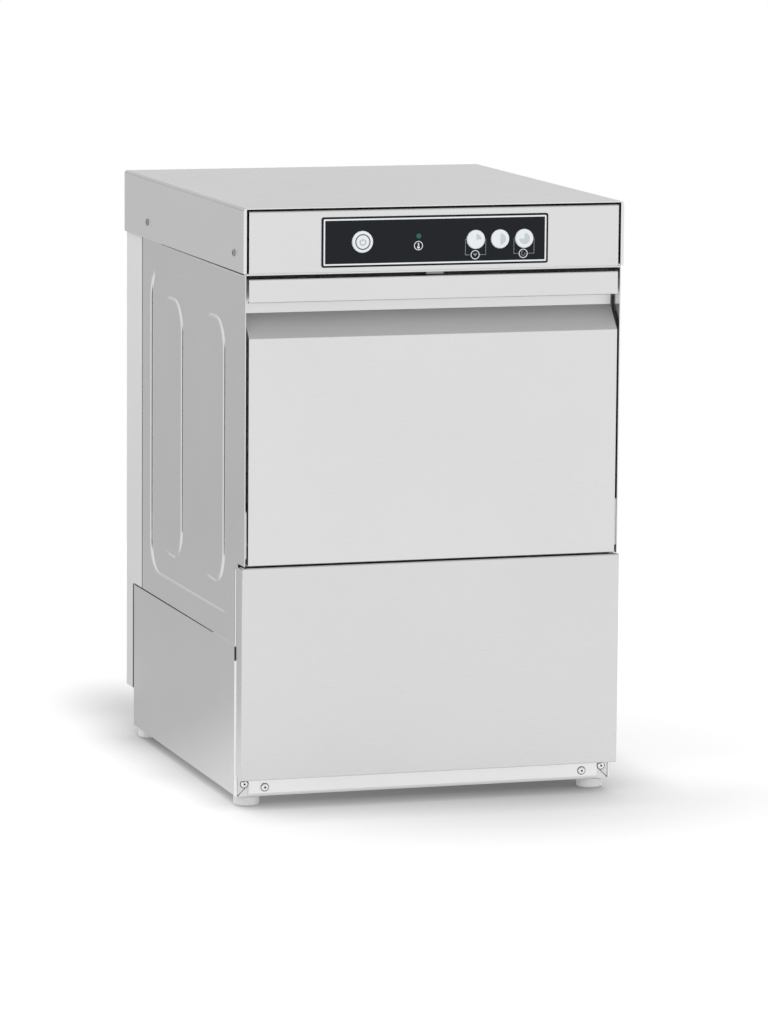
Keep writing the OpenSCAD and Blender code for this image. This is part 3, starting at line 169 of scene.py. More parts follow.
# %% Studio room
ROOM_LIGHT = 1.1
BACKDROP = 0.97
GREY_END = 0.565
GREY_END_PLACE = ((-0.139, 0.99, 0), 42, 18)
LOW_FROM = -0.03
LOW_TO = 0.36
DARK_SIDE = ((-0.95, 0.31, -0.145), 13, 7, 1.0, 0.1)
GREY_CEILING = ((0.25, -0.2, 0.95), 48, 28, 1.0, 0.55)
PALE_BEHIND = ((0.31, 0.93, 0.17), 30, 12, 1.0, 0.8)

world = bpy.data.worlds.new("studio_room")
bpy.context.scene.world = world
world.use_nodes = True
room = world.node_tree
room.nodes.clear()
ray_direction = add(room, "ShaderNodeTexCoord").outputs["Generated"]


def screen(axis, edge_degrees, heart_degrees, tone_outside, tone_inside):
    """A round soft screen in the room: its tone, from outside its edge to its heart."""
    along = add(room, "ShaderNodeVectorMath", {0: ray_direction, 1: Vector(axis).normalized()},
                operation="DOT_PRODUCT")
    return add(room, "ShaderNodeMapRange", {
        "Value": along.outputs["Value"], "From Min": math.cos(math.radians(edge_degrees)),
        "From Max": math.cos(math.radians(heart_degrees)), "To Min": tone_outside, "To Max": tone_inside},
        interpolation_type="SMOOTHSTEP")


ray_height = add(room, "ShaderNodeSeparateXYZ", {"Vector": ray_direction})
low_tone = add(room, "ShaderNodeMapRange", {
    "Value": ray_height.outputs["Z"], "From Min": LOW_FROM, "From Max": LOW_TO, "To Min": GREY_END,
    "To Max": BACKDROP}, interpolation_type="SMOOTHSTEP")
mirrored = add(room, "ShaderNodeMix", {
    "Factor": screen(*GREY_END_PLACE, 0.0, 1.0), "A": BACKDROP, "B": low_tone}, data_type="FLOAT")
for place_and_tones in (DARK_SIDE, GREY_CEILING, PALE_BEHIND):
    mirrored = add(room, "ShaderNodeMath", {0: mirrored, 1: screen(*place_and_tones)}, operation="MULTIPLY")
seen = add(room, "ShaderNodeLightPath")
plain_view = add(room, "ShaderNodeMath", {
    0: seen.outputs["Is Camera Ray"], 1: seen.outputs["Is Transmission Ray"]}, operation="MAXIMUM")
lit = add(room, "ShaderNodeMix", {
    "Factor": seen.outputs["Is Glossy Ray"], "A": ROOM_LIGHT, "B": mirrored}, data_type="FLOAT")
shown = add(room, "ShaderNodeMix", {"Factor": plain_view, "A": lit, "B": 1.0}, data_type="FLOAT")
backdrop = add(room, "ShaderNodeBackground", {"Color": linear("#FFFFFF"), "Strength": shown})
add(room, "ShaderNodeOutputWorld", {"Surface": backdrop})
print("room:", len(room.nodes), "nodes")

# %% [markdown]
# The floor is a pale disc that keeps the soft shadow under the machine. Seen by the camera or in the steel it
# gets some light of its own, so that it fades into the white around it, and only the shadow is left. The
# shadow of a heavy box is darkest right at its foot, so a painted contact shadow darkens the floor where the
# machine stands close over it. In the photograph the lamps stand to the front right, so four soft patches of
# painted shadow and painted light lead the shadow away to the back left and lighten the left side. Far behind
# the machine the steel sees the floor painted grey, as a table looks where the lamps no longer reach, and one
# painted gleam on it lights the lower ends of the pressed slots.

# %% Floor sizes in m, and a painted patch as across, back, half width, half depth and light
FLOOR_RADIUS = 1.7
FLOOR_FILL = 0.475
FLOOR_FILL_IN_STEEL = 0.39
PAINTED_FLOOR_GREY = 0.575
CONTACT_REACH = 0.1
CONTACT_SHADE_TONE = 0.22
SIDE_WEIGHT = 1.2
SIDE_LIMIT = -0.08
GREY_FROM = -0.46
GREY_TO = -0.03
PAINTED_FLOOR_PATCHES = ((-0.162, 0.34, 0.141, 0.328, -0.422), (-0.233, 0.026, 0.22, 0.385, 0.192),
                 (0.117, -0.282, 0.39, 0.287, -0.209), (-0.163, -0.182, 0.83, 0.174, 0.21))
PAINTED_FLOOR_GLEAM = (-0.24, 0.75, 0.1, 0.35, 0.5)

disc = bmesh.new()
bmesh.ops.create_circle(disc, cap_ends=True, radius=FLOOR_RADIUS, segments=96)
floor = from_shape("floor", disc)
floor_paint, floor_tree = new_material("matt_white_floor")
floor_point = add(floor_tree, "ShaderNodeTexCoord").outputs["Object"]
floor_rays = add(floor_tree, "ShaderNodeLightPath").outputs
seen_direct = floor_rays["Is Camera Ray"]
seen_in_steel = floor_rays["Is Glossy Ray"]


def painted_patch(across, back, half_width, half_depth, light):
    """Painted light that a soft oval patch adds to the floor, painted shadow where it is below zero, full at
    its heart and none at its edge.
    """
    offset = add(floor_tree, "ShaderNodeVectorMath", {0: floor_point, 1: (across, back, 0)},
                 operation="SUBTRACT")
    shaped = add(floor_tree, "ShaderNodeVectorMath", {0: offset, 1: (1 / half_width, 1 / half_depth, 0)},
                 operation="MULTIPLY")
    away = add(floor_tree, "ShaderNodeVectorMath", {0: shaped}, operation="LENGTH")
    return add(floor_tree, "ShaderNodeMapRange", {
        "Value": away.outputs["Value"], "To Min": light, "To Max": 0.0}, interpolation_type="SMOOTHSTEP")


print("floor radius", FLOOR_RADIUS, "m,", len(PAINTED_FLOOR_PATCHES), "patches")

# %% Floor shading
in_steel = add(floor_tree, "ShaderNodeMath", {0: seen_in_steel, 1: floor_rays["Is Transmission Ray"]},
               operation="MAXIMUM")
steel_light = add(floor_tree, "ShaderNodeMath", {0: in_steel, 1: FLOOR_FILL_IN_STEEL}, operation="MULTIPLY")
floor_light = add(floor_tree, "ShaderNodeMath", {0: seen_direct, 1: FLOOR_FILL, 2: steel_light},
                  operation="MULTIPLY_ADD")
# Painted shadow and light: each patch adds own light to the floor where the camera sees it, or takes it away
# where its light is below zero.
for patch in PAINTED_FLOOR_PATCHES:
    floor_light = add(floor_tree, "ShaderNodeMath", {0: painted_patch(*patch), 1: seen_direct, 2: floor_light},
                      operation="MULTIPLY_ADD")
# Painted contact shadow: where ambient occlusion finds the machine close by, the floor's colour and own light
# are darkened, for camera rays only.
openness = add(floor_tree, "ShaderNodeAmbientOcclusion", {"Distance": CONTACT_REACH}, samples=12)
painted_contact_shade = add(floor_tree, "ShaderNodeMapRange", {"Value": openness.outputs["AO"], "To Min": CONTACT_SHADE_TONE})
contact = add(floor_tree, "ShaderNodeMix", {"Factor": seen_direct, "A": 1.0, "B": painted_contact_shade}, data_type="FLOAT")
shaded_floor_colour = add(floor_tree, "ShaderNodeMix", {
    "Factor": contact, 6: linear("#000000"), 7: linear("#C3C3C3")}, data_type="RGBA")
lifted = add(floor_tree, "ShaderNodeMath", {0: floor_light, 1: contact}, operation="MULTIPLY")
floor_shader = add(floor_tree, "ShaderNodeBsdfPrincipled", {
    "Base Color": shaded_floor_colour.outputs[2], "Roughness": 1.0, "Specular IOR Level": 0.0,
    "Emission Color": linear("#FFFFFF"), "Emission Strength": lifted})
floor_place = add(floor_tree, "ShaderNodeSeparateXYZ", {"Vector": floor_point})
left_side = add(floor_tree, "ShaderNodeMath", {0: floor_place.outputs["X"], 1: SIDE_LIMIT},
                operation="MINIMUM")
aslant = add(floor_tree, "ShaderNodeMath", {0: left_side, 1: SIDE_WEIGHT, 2: floor_place.outputs["Y"]},
             operation="MULTIPLY_ADD")
# Painted shade and light seen in the steel: far behind on the left the floor turns grey, with one painted
# gleam on it.
far_back = add(floor_tree, "ShaderNodeMapRange", {
    "Value": aslant, "From Min": GREY_FROM, "From Max": GREY_TO}, interpolation_type="SMOOTHSTEP")
far_in_steel = add(floor_tree, "ShaderNodeMath", {0: far_back, 1: seen_in_steel}, operation="MULTIPLY")
far_tone = add(floor_tree, "ShaderNodeMath", {0: painted_patch(*PAINTED_FLOOR_GLEAM), 1: PAINTED_FLOOR_GREY}, operation="ADD")
far_floor = add(floor_tree, "ShaderNodeEmission", {"Color": linear("#FFFFFF"), "Strength": far_tone})
whole_floor = add(floor_tree, "ShaderNodeMixShader", {0: far_in_steel, 1: floor_shader, 2: far_floor})
add(floor_tree, "ShaderNodeOutputMaterial", {"Surface": whole_floor})
floor.data.materials.append(floor_paint)
print("floor:", len(floor_tree.nodes), "nodes")

# %% [markdown]
# ## Stainless sheet
# The casing is chrome-nickel steel sheet with a satin finish, made by a fine belt that leaves short parallel
# scratches. To the eye that is a soft grey mirror: colours blur, and fine streaks show along the grain.
# Stretched noise makes the streaks, in the roughness and in a faint bump. Real scratches are about a tenth of
# a millimetre apart, too fine for the picture, so they are drawn about a millimetre apart. Each sheet has a
# tone of its own: the cover lightest, the rear cover nearly as light, the door a little darker, the side
# walls and the service panel darker again. The darker copies on the cover's side folds and on the slope below
# the handle are painted shade, and the paler copy on the rail and the rolled edges is a painted highlight.
# The zinc-coated rear cover and the slope are duller than polished metal.

# %% Satin stainless steel
STREAK_ACROSS_MM = 1.1
STREAK_ALONG_MM = 45
CLOUD_MM = 160
STREAK_BUMP = 0.03
STREAK_GLOSS = 0.03
MOULD_GLOSS = 0.05
NOISE_LOW = 0.3
NOISE_HIGH = 0.7
BUMP_REACH = 0.1 * MM
GRAIN_X, GRAIN_Y, GRAIN_Z = range(3)


def coat(tree, height, shade, gloss, light_hex, dark_hex, bump, metallic, specular=0.5):
    """Gives a material its relief, its two colours and its gloss."""
    tint = add(tree, "ShaderNodeMix", {
        "Factor": shade, 6: linear(dark_hex), 7: linear(light_hex)}, data_type="RGBA")
    relief = add(tree, "ShaderNodeBump", {"Height": height, "Strength": bump, "Distance": BUMP_REACH})
    shader = add(tree, "ShaderNodeBsdfPrincipled", {
        "Base Color": tint.outputs[2], "Roughness": gloss, "Normal": relief, "Metallic": metallic,
        "Specular IOR Level": specular})
    add(tree, "ShaderNodeOutputMaterial", {"Surface": shader})


def satin_stainless(name, light_hex, dark_hex, rough, grain, metallic=1.0):
    """Satin sheet whose streaks run along the axis grain."""
    material, tree = new_material(name)
    place = add(tree, "ShaderNodeTexCoord").outputs["Object"]
    stretch = [1000 / STREAK_ACROSS_MM] * 3
    stretch[grain] = 1000 / STREAK_ALONG_MM
    grain_space = add(tree, "ShaderNodeMapping", {"Vector": place, "Scale": stretch})
    streaks = add(tree, "ShaderNodeTexNoise", {
        "Vector": grain_space, "Scale": 1.0, "Detail": 3.0, "Roughness": 0.6})
    clouds = add(tree, "ShaderNodeTexNoise", {"Vector": place, "Scale": 1000 / CLOUD_MM, "Detail": 2.0})
    gloss = add(tree, "ShaderNodeMapRange", {
        "Value": streaks, "From Min": NOISE_LOW, "From Max": NOISE_HIGH, "To Min": rough - STREAK_GLOSS,
        "To Max": rough + STREAK_GLOSS})
    mottled = add(tree, "ShaderNodeMath", {0: streaks, 1: 0.5, 2: clouds}, operation="MULTIPLY_ADD")
    shade = add(tree, "ShaderNodeMapRange", {
        "Value": mottled, "From Min": 1.5 * NOISE_LOW, "From Max": 1.5 * NOISE_HIGH})
    coat(tree, streaks, shade, gloss, light_hex, dark_hex, STREAK_BUMP, metallic)
    return material


STEEL_FRONT = satin_stainless("satin_stainless_front", "#E3E3E3", "#E0E0E0", 0.3, GRAIN_X)
STEEL_LOWER = satin_stainless("satin_stainless_lower_front", "#DFDFDF", "#DCDCDC", 0.3, GRAIN_X)
STEEL_SIDE = satin_stainless("satin_stainless_side", "#E0E0E0", "#DCDCDC", 0.2, GRAIN_Y)
STEEL_TOP = satin_stainless("satin_stainless_top", "#EBEBEB", "#E8E8E8", 0.28, GRAIN_X)
# Painted shade: the darker copy for the cover's side folds.
STEEL_FOLD_SHADE = satin_stainless("satin_stainless_fold_painted_shade", "#C6C6C6", "#C2C2C2", 0.35, GRAIN_Y)
# Painted highlight: the paler copy for the rail, the rolled edges and the bead.
STEEL_PALE_SHEEN = satin_stainless("satin_stainless_painted_sheen", "#F7F7F7", "#F4F4F4", 0.42, GRAIN_X)
# Painted shade: the duller, darker copy for the slope below the handle.
STEEL_SLOPE_SHADE = satin_stainless("stainless_slope_painted_shade", "#B9B9B9", "#B5B5B5", 0.5, GRAIN_X, 0.25)
STEEL_INSIDE = satin_stainless("satin_stainless_inside", "#D4D6D8", "#CDCFD1", 0.3, GRAIN_Z)
STEEL_PART = satin_stainless("polished_stainless_fitting", "#CDCFD1", "#C3C5C8", 0.24, GRAIN_X)
STEEL_SCREW = satin_stainless("polished_stainless_screw", "#F4F4F4", "#EFEFEF", 0.2, GRAIN_X)
DULL_SCREW = satin_stainless("dull_zinc_screw", "#9A9A9A", "#949494", 0.35, GRAIN_X)
ZINC_REAR = satin_stainless("zinc_coated_sheet_rear", "#E9E9E9", "#E4E4E4", 0.5, GRAIN_Z, 0.42)
print("steel finishes:", [m.name for m in bpy.data.materials if "stainless" in m.name])

# %% [markdown]
# ## Plastics, rubber and the other metals
# Moulded plastic has a fine spark-eroded texture that breaks its gloss, rubber is dull with a trace of bloom,
# and drawn copper and enamel have soft mottling. One function serves them: a noise of a given grain size
# drives the colour, the roughness and a small bump.

# %% Moulded and coated finishes
def moulded(name, light_hex, dark_hex, rough, grain_mm, bump, metallic=0.0, specular=0.5):
    """A surface with an even texture of a given grain size."""
    material, tree = new_material(name)
    place = add(tree, "ShaderNodeTexCoord").outputs["Object"]
    texture = add(tree, "ShaderNodeTexNoise", {"Vector": place, "Scale": 1000 / grain_mm, "Detail": 4.0})
    spread = add(tree, "ShaderNodeMapRange", {
        "Value": texture, "From Min": NOISE_LOW, "From Max": NOISE_HIGH})
    gloss = add(tree, "ShaderNodeMapRange", {
        "Value": spread, "To Min": rough - MOULD_GLOSS, "To Max": rough + MOULD_GLOSS})
    coat(tree, texture, spread, gloss, light_hex, dark_hex, bump, metallic, specular)
    return material


FILM_BLACK = moulded("printed_film_black", "#12171E", "#10141B", 0.42, 0.8, 0.04, specular=0.2)
INK_WHITE = moulded("screen_ink_white", "#F2F4F5", "#E9ECEE", 0.5, 0.6, 0.04)
INK_GREY = moulded("screen_ink_grey", "#A3ADB0", "#9AA4A8", 0.5, 0.6, 0.04)
INK_DIM = moulded("screen_ink_dim_grey", "#757D80", "#6C7477", 0.5, 0.6, 0.04)
INK_DARK = moulded("screen_ink_dark_grey", "#3C4548", "#343D40", 0.5, 0.6, 0.04)
BUTTON_WHITE = moulded("abs_button_white", "#EFF2F4", "#E8ECEE", 0.32, 1.2, 0.05)
BUTTON_GREY = moulded("abs_button_print_grey", "#CBD6D8", "#C3CED1", 0.4, 1.0, 0.05)
LAMP_GREEN = moulded("acrylic_lamp_green", "#0E5F50", "#0A5244", 0.22, 2.0, 0.03)
FOOT_NYLON = moulded("nylon_foot_white", "#F3F3F2", "#ECECEB", 0.5, 0.9, 0.15)
RUBBER = moulded("epdm_rubber_black", "#222324", "#191A1B", 0.68, 0.7, 0.2)
BLACK_PLASTIC = moulded("nylon_black", "#242527", "#1B1C1E", 0.5, 0.8, 0.15)
GREY_PLASTIC = moulded("polypropylene_grey", "#8F9396", "#85898C", 0.48, 0.9, 0.12)
WHITE_PLASTIC = moulded("polypropylene_white", "#E6E6E2", "#DBDBD6", 0.46, 0.9, 0.12)
COPPER = moulded("drawn_copper", "#C98A62", "#B67852", 0.3, 2.5, 0.05, 1.0)
ENAMEL_GREY = moulded("grey_enamel", "#5E6367", "#54595D", 0.42, 1.4, 0.12)
BOARD_GREEN = moulded("lacquered_board_green", "#1F6A3E", "#185933", 0.38, 1.5, 0.05)
# Painted shade: dark steel for the hollows of the screw recesses and the rings round the front screws.
SHADOW_GAP = moulded("painted_shade_dark_steel", "#4A4C4F", "#414346", 0.5, 0.9, 0.05, 1.0)
print("materials:", len(bpy.data.materials))

# %% [markdown]
# ## Giving a node its real edges
# A sheet that has been cut and folded never has a perfect edge: there is a small round that catches the
# light. The construction mesh is loose triangles, so a copy is welded first, flat triangles are joined, the
# sharp edges get a tiny bevel, and the normals are weighted by area, which keeps large flats flat beside
# narrow bends.

# %% Finishing helper
SMOOTH_BELOW = math.radians(38)
FLAT_WITHIN = math.radians(0.1)
WELD = 0.002 * MM
BODY_OF = {node: body for body, nodes in frame["record"]["behaviour"]["bodies"].items() for node in nodes}


def settle(piece, node, *replaced):
    """Makes a piece ride on a node's body, in place of the nodes that it replaces."""
    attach(piece, BODY_OF[node])
    if replaced:
        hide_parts(*replaced)
    return piece


def baked(piece):
    """Turns an object's modifiers into a plain mesh."""
    evaluated = piece.evaluated_get(bpy.context.evaluated_depsgraph_get())
    mesh = bpy.data.meshes.new_from_object(evaluated)
    piece.modifiers.clear()
    piece.data = mesh
    return piece


def soften(piece, material, bevel_mm, segments=2):
    """Rounds a piece's sharp edges and keeps its flats flat."""
    piece.data.materials.clear()
    piece.data.materials.append(material)
    piece.data.set_sharp_from_angle(angle=SMOOTH_BELOW)
    piece.data.shade_smooth()
    if bevel_mm:
        bevel = piece.modifiers.new("edges", "BEVEL")
        bevel.width = bevel_mm * MM
        bevel.segments = segments
        bevel.limit_method = "ANGLE"
        bevel.angle_limit = SMOOTH_BELOW
        bevel.use_clamp_overlap = True
    weighted = piece.modifiers.new("normals", "WEIGHTED_NORMAL")
    weighted.keep_sharp = True
    weighted.weight = 100
    return baked(piece)


def welded_copy(node):
    """A construction node's mesh with its loose triangles joined."""
    shape = bmesh.new()
    shape.from_mesh(frame["nodes"][node].data)
    bmesh.ops.remove_doubles(shape, verts=shape.verts, dist=WELD)
    return shape


def finished(node, material, bevel_mm=0.25, segments=2, reshape=None):
    """A copy of a construction node with soft edges, standing in for it."""
    shape = welded_copy(node)
    bmesh.ops.dissolve_limit(shape, angle_limit=FLAT_WITHIN, verts=shape.verts, edges=shape.edges)
    if reshape:
        for vertex in shape.verts:
            reshape(vertex.co)
    return settle(soften(from_shape(node + "_finish", shape), material, bevel_mm, segments), node, node)


print("bodies:", len(set(BODY_OF.values())))

# %% [markdown]
# ## Casing
# Cover, control panel, door, service panel, base and rear cover are all folded sheet. Each takes the finish
# of the way it faces, because the grain runs along the sheet it was cut from. Some sheets have two finishes:
# the cover's side folds are darker, which is painted shade, the service panel's rail is paler, which is a
# painted highlight, and the slope below the handle is a duller, darker grey, painted shade under the handle's
# lip. Two thin edges are moved by a millimetre or two: the cover's lip is narrower and the control panel
# hangs lower, because the seams show so in the photograph.

# %% Casing sizes in mm, and what tells the faces of a second finish apart
FRONT_Y = box_mm("service_panel")[0][1]
COVER_TOP = box_mm("top_cover")[1][2]
CONTROL_LOW = box_mm("control_panel")[0][2]
LIP_FROM = 214.0
LIP_IN = 216.4
LIP_DEPTH = 1.5
TOP_SHEET = 0.5
CONTROL_EDGE = 0.6
CONTROL_DROP = 2.1
SLOPE_AREA_M2 = 0.002
SLOPE_UP = (0.3, 0.95)
FLANGE_SIDE = 0.9
FOLD_UP = 0.05
FOLD_SIDE = 0.15
RAIL_TOP = 34.0


def narrow_lip(point):
    """Pulls the inner edge of the cover's front lip outwards, so that a dark gap shows beside the panel."""
    in_front = point.y / MM - FRONT_Y < LIP_DEPTH
    if LIP_FROM < abs(point.x) / MM < LIP_IN and in_front and point.z / MM < COVER_TOP - TOP_SHEET:
        point.x = math.copysign(LIP_IN * MM, point.x)


def drop_edge(point):
    """Lets the control panel's lower edge hang over the rail behind it, so that no seam shows."""
    if point.z / MM < CONTROL_LOW + CONTROL_EDGE:
        point.z -= CONTROL_DROP * MM


def refinish(piece, rule, *materials):
    """Gives some faces of a piece other finishes: rule tells a face's number, 0 for the piece's own."""
    for material in materials:
        piece.data.materials.append(material)
    for face in piece.data.polygons:
        face.material_index = rule(face)
    numbers = [face.material_index for face in piece.data.polygons]
    print(piece.name, [numbers.count(k) for k in range(len(materials) + 1)], "faces of each finish")


def panel_finish(face):
    """1 on the service panel's rail, a paler copy that is a painted highlight, 2 on its side flanges."""
    if face.center.z < RAIL_TOP * MM:
        return 1
    return 2 if abs(face.normal.x) > FLANGE_SIDE else 0


def door_finish(face):
    """1 on the slope below the handle, a duller, darker copy that is painted shade under the handle's lip."""
    return int(face.area > SLOPE_AREA_M2 and SLOPE_UP[0] < face.normal.z < SLOPE_UP[1])


def cover_finish(face):
    """1 on the cover's side folds, a darker copy that is painted shade."""
    return int(face.normal.z > FOLD_UP and abs(face.normal.x) > FOLD_SIDE)


print("front at", round(FRONT_Y, 1), "mm")

# %% Folded sheet pieces
for node, finish in (("base_panel_left", STEEL_SIDE), ("base_panel_right", STEEL_SIDE),
                     ("rear_cover", ZINC_REAR), ("base_frame", STEEL_FRONT), ("ceiling", STEEL_FRONT)):
    finished(node, finish)
finished("control_panel", STEEL_FRONT, reshape=drop_edge)
refinish(finished("service_panel", STEEL_LOWER), panel_finish, STEEL_PALE_SHEEN, STEEL_SIDE)
refinish(finished("door_skin", STEEL_FRONT), door_finish, STEEL_SLOPE_SHADE)
refinish(finished("top_cover", STEEL_TOP, 0.1, reshape=narrow_lip), cover_finish, STEEL_FOLD_SHADE)

# %% Inner, rubber and moulded pieces: finish, bevel in mm, bevel segments and nodes
plain_pieces = (
    (STEEL_INSIDE, 0.25, 2, "rear_wall door_frame tank door_liner boiler"),
    (STEEL_PART, 0.25, 2, "hinge_brackets rack_rails arm_pillar upper_manifold door_strike pump_strainer"),
    (STEEL_PART, 0.25, 2, "lower_wash_arm upper_wash_arm lower_rinse_arm upper_rinse_arm"),
    (RUBBER, 0.25, 2, "door_gasket suction_hose"),
    (BLACK_PLASTIC, 0.25, 2, "lower_arm_nut upper_arm_nut cable_gland terminal_block hinge_bushes"),
    (GREY_PLASTIC, 0.25, 2, "push_switches door_catch delivery_pipe drain_pipe pump_casing overflow_pipe"),
    (WHITE_PLASTIC, 0.25, 2, "inlet_valve rinse_aid_doser pump_rotor"),
    (COPPER, 0.25, 2, "rinse_pipes tank_heater"),
    (ENAMEL_GREY, 0.25, 2, "pump_motor"),
    (BOARD_GREEN, 0.25, 2, "control_board"),
    (FOOT_NYLON, 0.5, 3, "foot_front_left foot_front_right foot_rear_left foot_rear_right"),
    (LAMP_GREEN, 0.2, 2, "indicator_lamp"),
    (FILM_BLACK, 0.15, 2, "control_fascia"),
    (BUTTON_WHITE, 0.35, 3, "power_button cycle_button_short cycle_button_medium cycle_button_long"),
)
for finish, bevel_mm, segments, nodes in plain_pieces:
    for node in nodes.split():
        finished(node, finish, bevel_mm, segments)
print("plain pieces:", sum(len(row[3].split()) for row in plain_pieces))

# %% [markdown]
# ## Pressed side walls
# Each side wall is one sheet, 1 mm thick, with a large panel pressed inwards and two upright slots pressed
# out again from the panel. The construction model has straight flanks there. A press tool leaves a soft S: a
# slow roll at the upper edge, a steep flank and a tighter turn at the bottom, and that S is what draws one
# bright and one dark line along each pressing. The wall is built as its visible skin, ring by ring, and gets
# its thickness afterwards.

# %% Wall sizes in mm, depth counted from the front of the machine
wall_low, wall_high = box_mm("right_wall")
WALL_X = box_mm("rear_cover")[1][0]
FLANGE_X = wall_low[0]
WALL_FRONT = wall_low[1] - FRONT_Y
WALL_REAR = wall_high[1] - FRONT_Y
WALL_LOW = wall_low[2]
WALL_TOP = wall_high[2]
SHEET = 1.0
FOLD = 2.0
FOLD_STEPS = 6
NOTCH = 2.0
BESIDE_PANEL = 27.5
BESIDE_LOW = 181.0
BESIDE_TOP = 274.3
LOW_STEP = 6.0
COVER_STEP = 7.0
COVER_EDGE = 598.0
PANEL = (52.0, 207.0, 409.5, 572.5)
PANEL_DEPTH = 2.0
PANEL_RUN = 5.5
PANEL_ROUND = 40.0
SLOTS = ((88.0, 239.0, 186.0, 540.5), (268.0, 239.0, 366.0, 540.5))
SLOT_RISE = 1.8
SLOT_RUN = 5.0
SLOT_ROUND = 38.0
print("side wall:", round(WALL_REAR - WALL_FRONT, 1), "x", round(WALL_TOP - WALL_LOW, 1), "mm, flange to",
      round(FLANGE_X, 1))

# %% Press profile
RINGS = 16
ROLL_TABLE = ((0.0, 0.0), (0.085, 0.24), (0.577, 0.335), (0.63, 0.493), (0.935, 0.493), (1.0, 0.0))


def slope_at(share):
    """Steepness of the flank at a share of its run, read off the table of the roll."""
    for (from_share, from_slope), (to_share, to_slope) in zip(ROLL_TABLE, ROLL_TABLE[1:]):
        if share <= to_share:
            return from_slope + (to_slope - from_slope) * (share - from_share) / (to_share - from_share)
    return 0.0


def press_profile():
    """Share of the full depth at each ring: slow roll, steep flank, tight turn at the bottom."""
    slopes = [slope_at(k / RINGS) for k in range(RINGS + 1)]
    depths = [0.0]
    for k in range(RINGS):
        depths.append(depths[-1] + (slopes[k] + slopes[k + 1]) / 2)
    return [depth / depths[-1] for depth in depths]


PANEL_PROFILE = press_profile()
SLOT_PROFILE = [1 - share for share in PANEL_PROFILE[::-1]]
print("press profile:", [round(share, 2) for share in PANEL_PROFILE])

# %% Rings, fillings and folds
QUARTER = 10


def circle_points(a, b, radius, count=32, start=0.0, sweep=360.0):
    """Points round a circle, or along an arc where the sweep is less than a full turn."""
    steps = count if sweep >= 360 else count + 1
    angles = [math.radians(start + sweep * k / count) for k in range(steps)]
    return [(a + radius * math.cos(angle), b + radius * math.sin(angle)) for angle in angles]


def rounded_loop(low_a, low_b, high_a, high_b, radius, steps=QUARTER):
    """Points of a rectangle with round corners, anticlockwise."""
    corners = ((high_a - radius, high_b - radius, 0), (low_a + radius, high_b - radius, 90),
               (low_a + radius, low_b + radius, 180), (high_a - radius, low_b + radius, 270))
    return [point for a, b, turn in corners for point in circle_points(a, b, radius, steps, turn, 90)]


def bridge(shape, outer, inner):
    """Joins two closed rows of vertices by a band of faces."""
    following = list(range(1, len(outer))) + [0]
    return [shape.faces.new((outer[k], outer[after], inner[after], inner[k]))
            for k, after in enumerate(following)]


def press_rings(shape, area, depth_start, depth, run, radius, profile):
    """Rings of vertices over a pressing, from its outer edge inwards."""
    rings = []
    for k in range(RINGS + 1):
        inset = run * k / RINGS
        loop = rounded_loop(area[0] + inset, area[1] + inset, area[2] - inset, area[3] - inset,
                            radius - inset)
        level = WALL_X - depth_start - depth * profile[k]
        rings.append([shape.verts.new((level, y, z)) for y, z in loop])
    for outer, inner in zip(rings, rings[1:]):
        bridge(shape, outer, inner)
    return rings


def fill_between(shape, loops):
    """Fills the flat between an outer loop of vertices and the loops inside it."""
    vertices = [vertex for loop in loops for vertex in loop]
    flat = [[Vector((vertex.co.y, vertex.co.z, 0)) for vertex in loop] for loop in loops]
    for corner in tessellate_polygon(flat):
        shape.faces.new([vertices[k] for k in corner])


def fold_strip(shape, edge, path):
    """Carries an edge of two vertices along a path of shifts, to make a folded flange."""
    last = edge
    for shift in path:
        row = [shape.verts.new(start.co + shift) for start in edge]
        shape.faces.new((last[0], last[1], row[1], row[0]))
        last = row


print("corner steps:", QUARTER)

# %% Side walls
def wall_skin(shape):
    """The visible skin of the right-hand wall in shop millimetres."""
    rear_flat = WALL_REAR - FOLD
    top_flat = WALL_TOP - FOLD
    under_cover = WALL_FRONT + COVER_STEP
    outline = ((BESIDE_PANEL + LOW_STEP, WALL_LOW), (rear_flat, WALL_LOW), (rear_flat, top_flat - NOTCH),
               (rear_flat - NOTCH, top_flat - NOTCH), (rear_flat - NOTCH, top_flat), (under_cover, top_flat),
               (under_cover, COVER_EDGE), (WALL_FRONT, COVER_EDGE), (WALL_FRONT, BESIDE_TOP),
               (BESIDE_PANEL, BESIDE_TOP), (BESIDE_PANEL, BESIDE_LOW), (BESIDE_PANEL + LOW_STEP, BESIDE_LOW))
    edge = [shape.verts.new((WALL_X, y, z)) for y, z in outline]
    panel = press_rings(shape, PANEL, 0, PANEL_DEPTH, PANEL_RUN, PANEL_ROUND, PANEL_PROFILE)
    slots = [press_rings(shape, area, PANEL_DEPTH, -SLOT_RISE, SLOT_RUN, SLOT_ROUND, SLOT_PROFILE)
             for area in SLOTS]
    fill_between(shape, [edge, panel[0]])
    fill_between(shape, [panel[-1]] + [rings[0] for rings in slots])
    for rings in slots:
        shape.faces.new(rings[-1])
    turns = [math.radians(90 * k / FOLD_STEPS) for k in range(1, FOLD_STEPS + 1)]
    bend = [(FOLD * (math.cos(a) - 1), FOLD * math.sin(a)) for a in turns] + [(FLANGE_X - WALL_X, FOLD)]
    fold_strip(shape, (edge[4], edge[5]), [Vector((inward, 0, onward)) for inward, onward in bend])
    fold_strip(shape, (edge[1], edge[2]), [Vector((inward, onward, 0)) for inward, onward in bend])


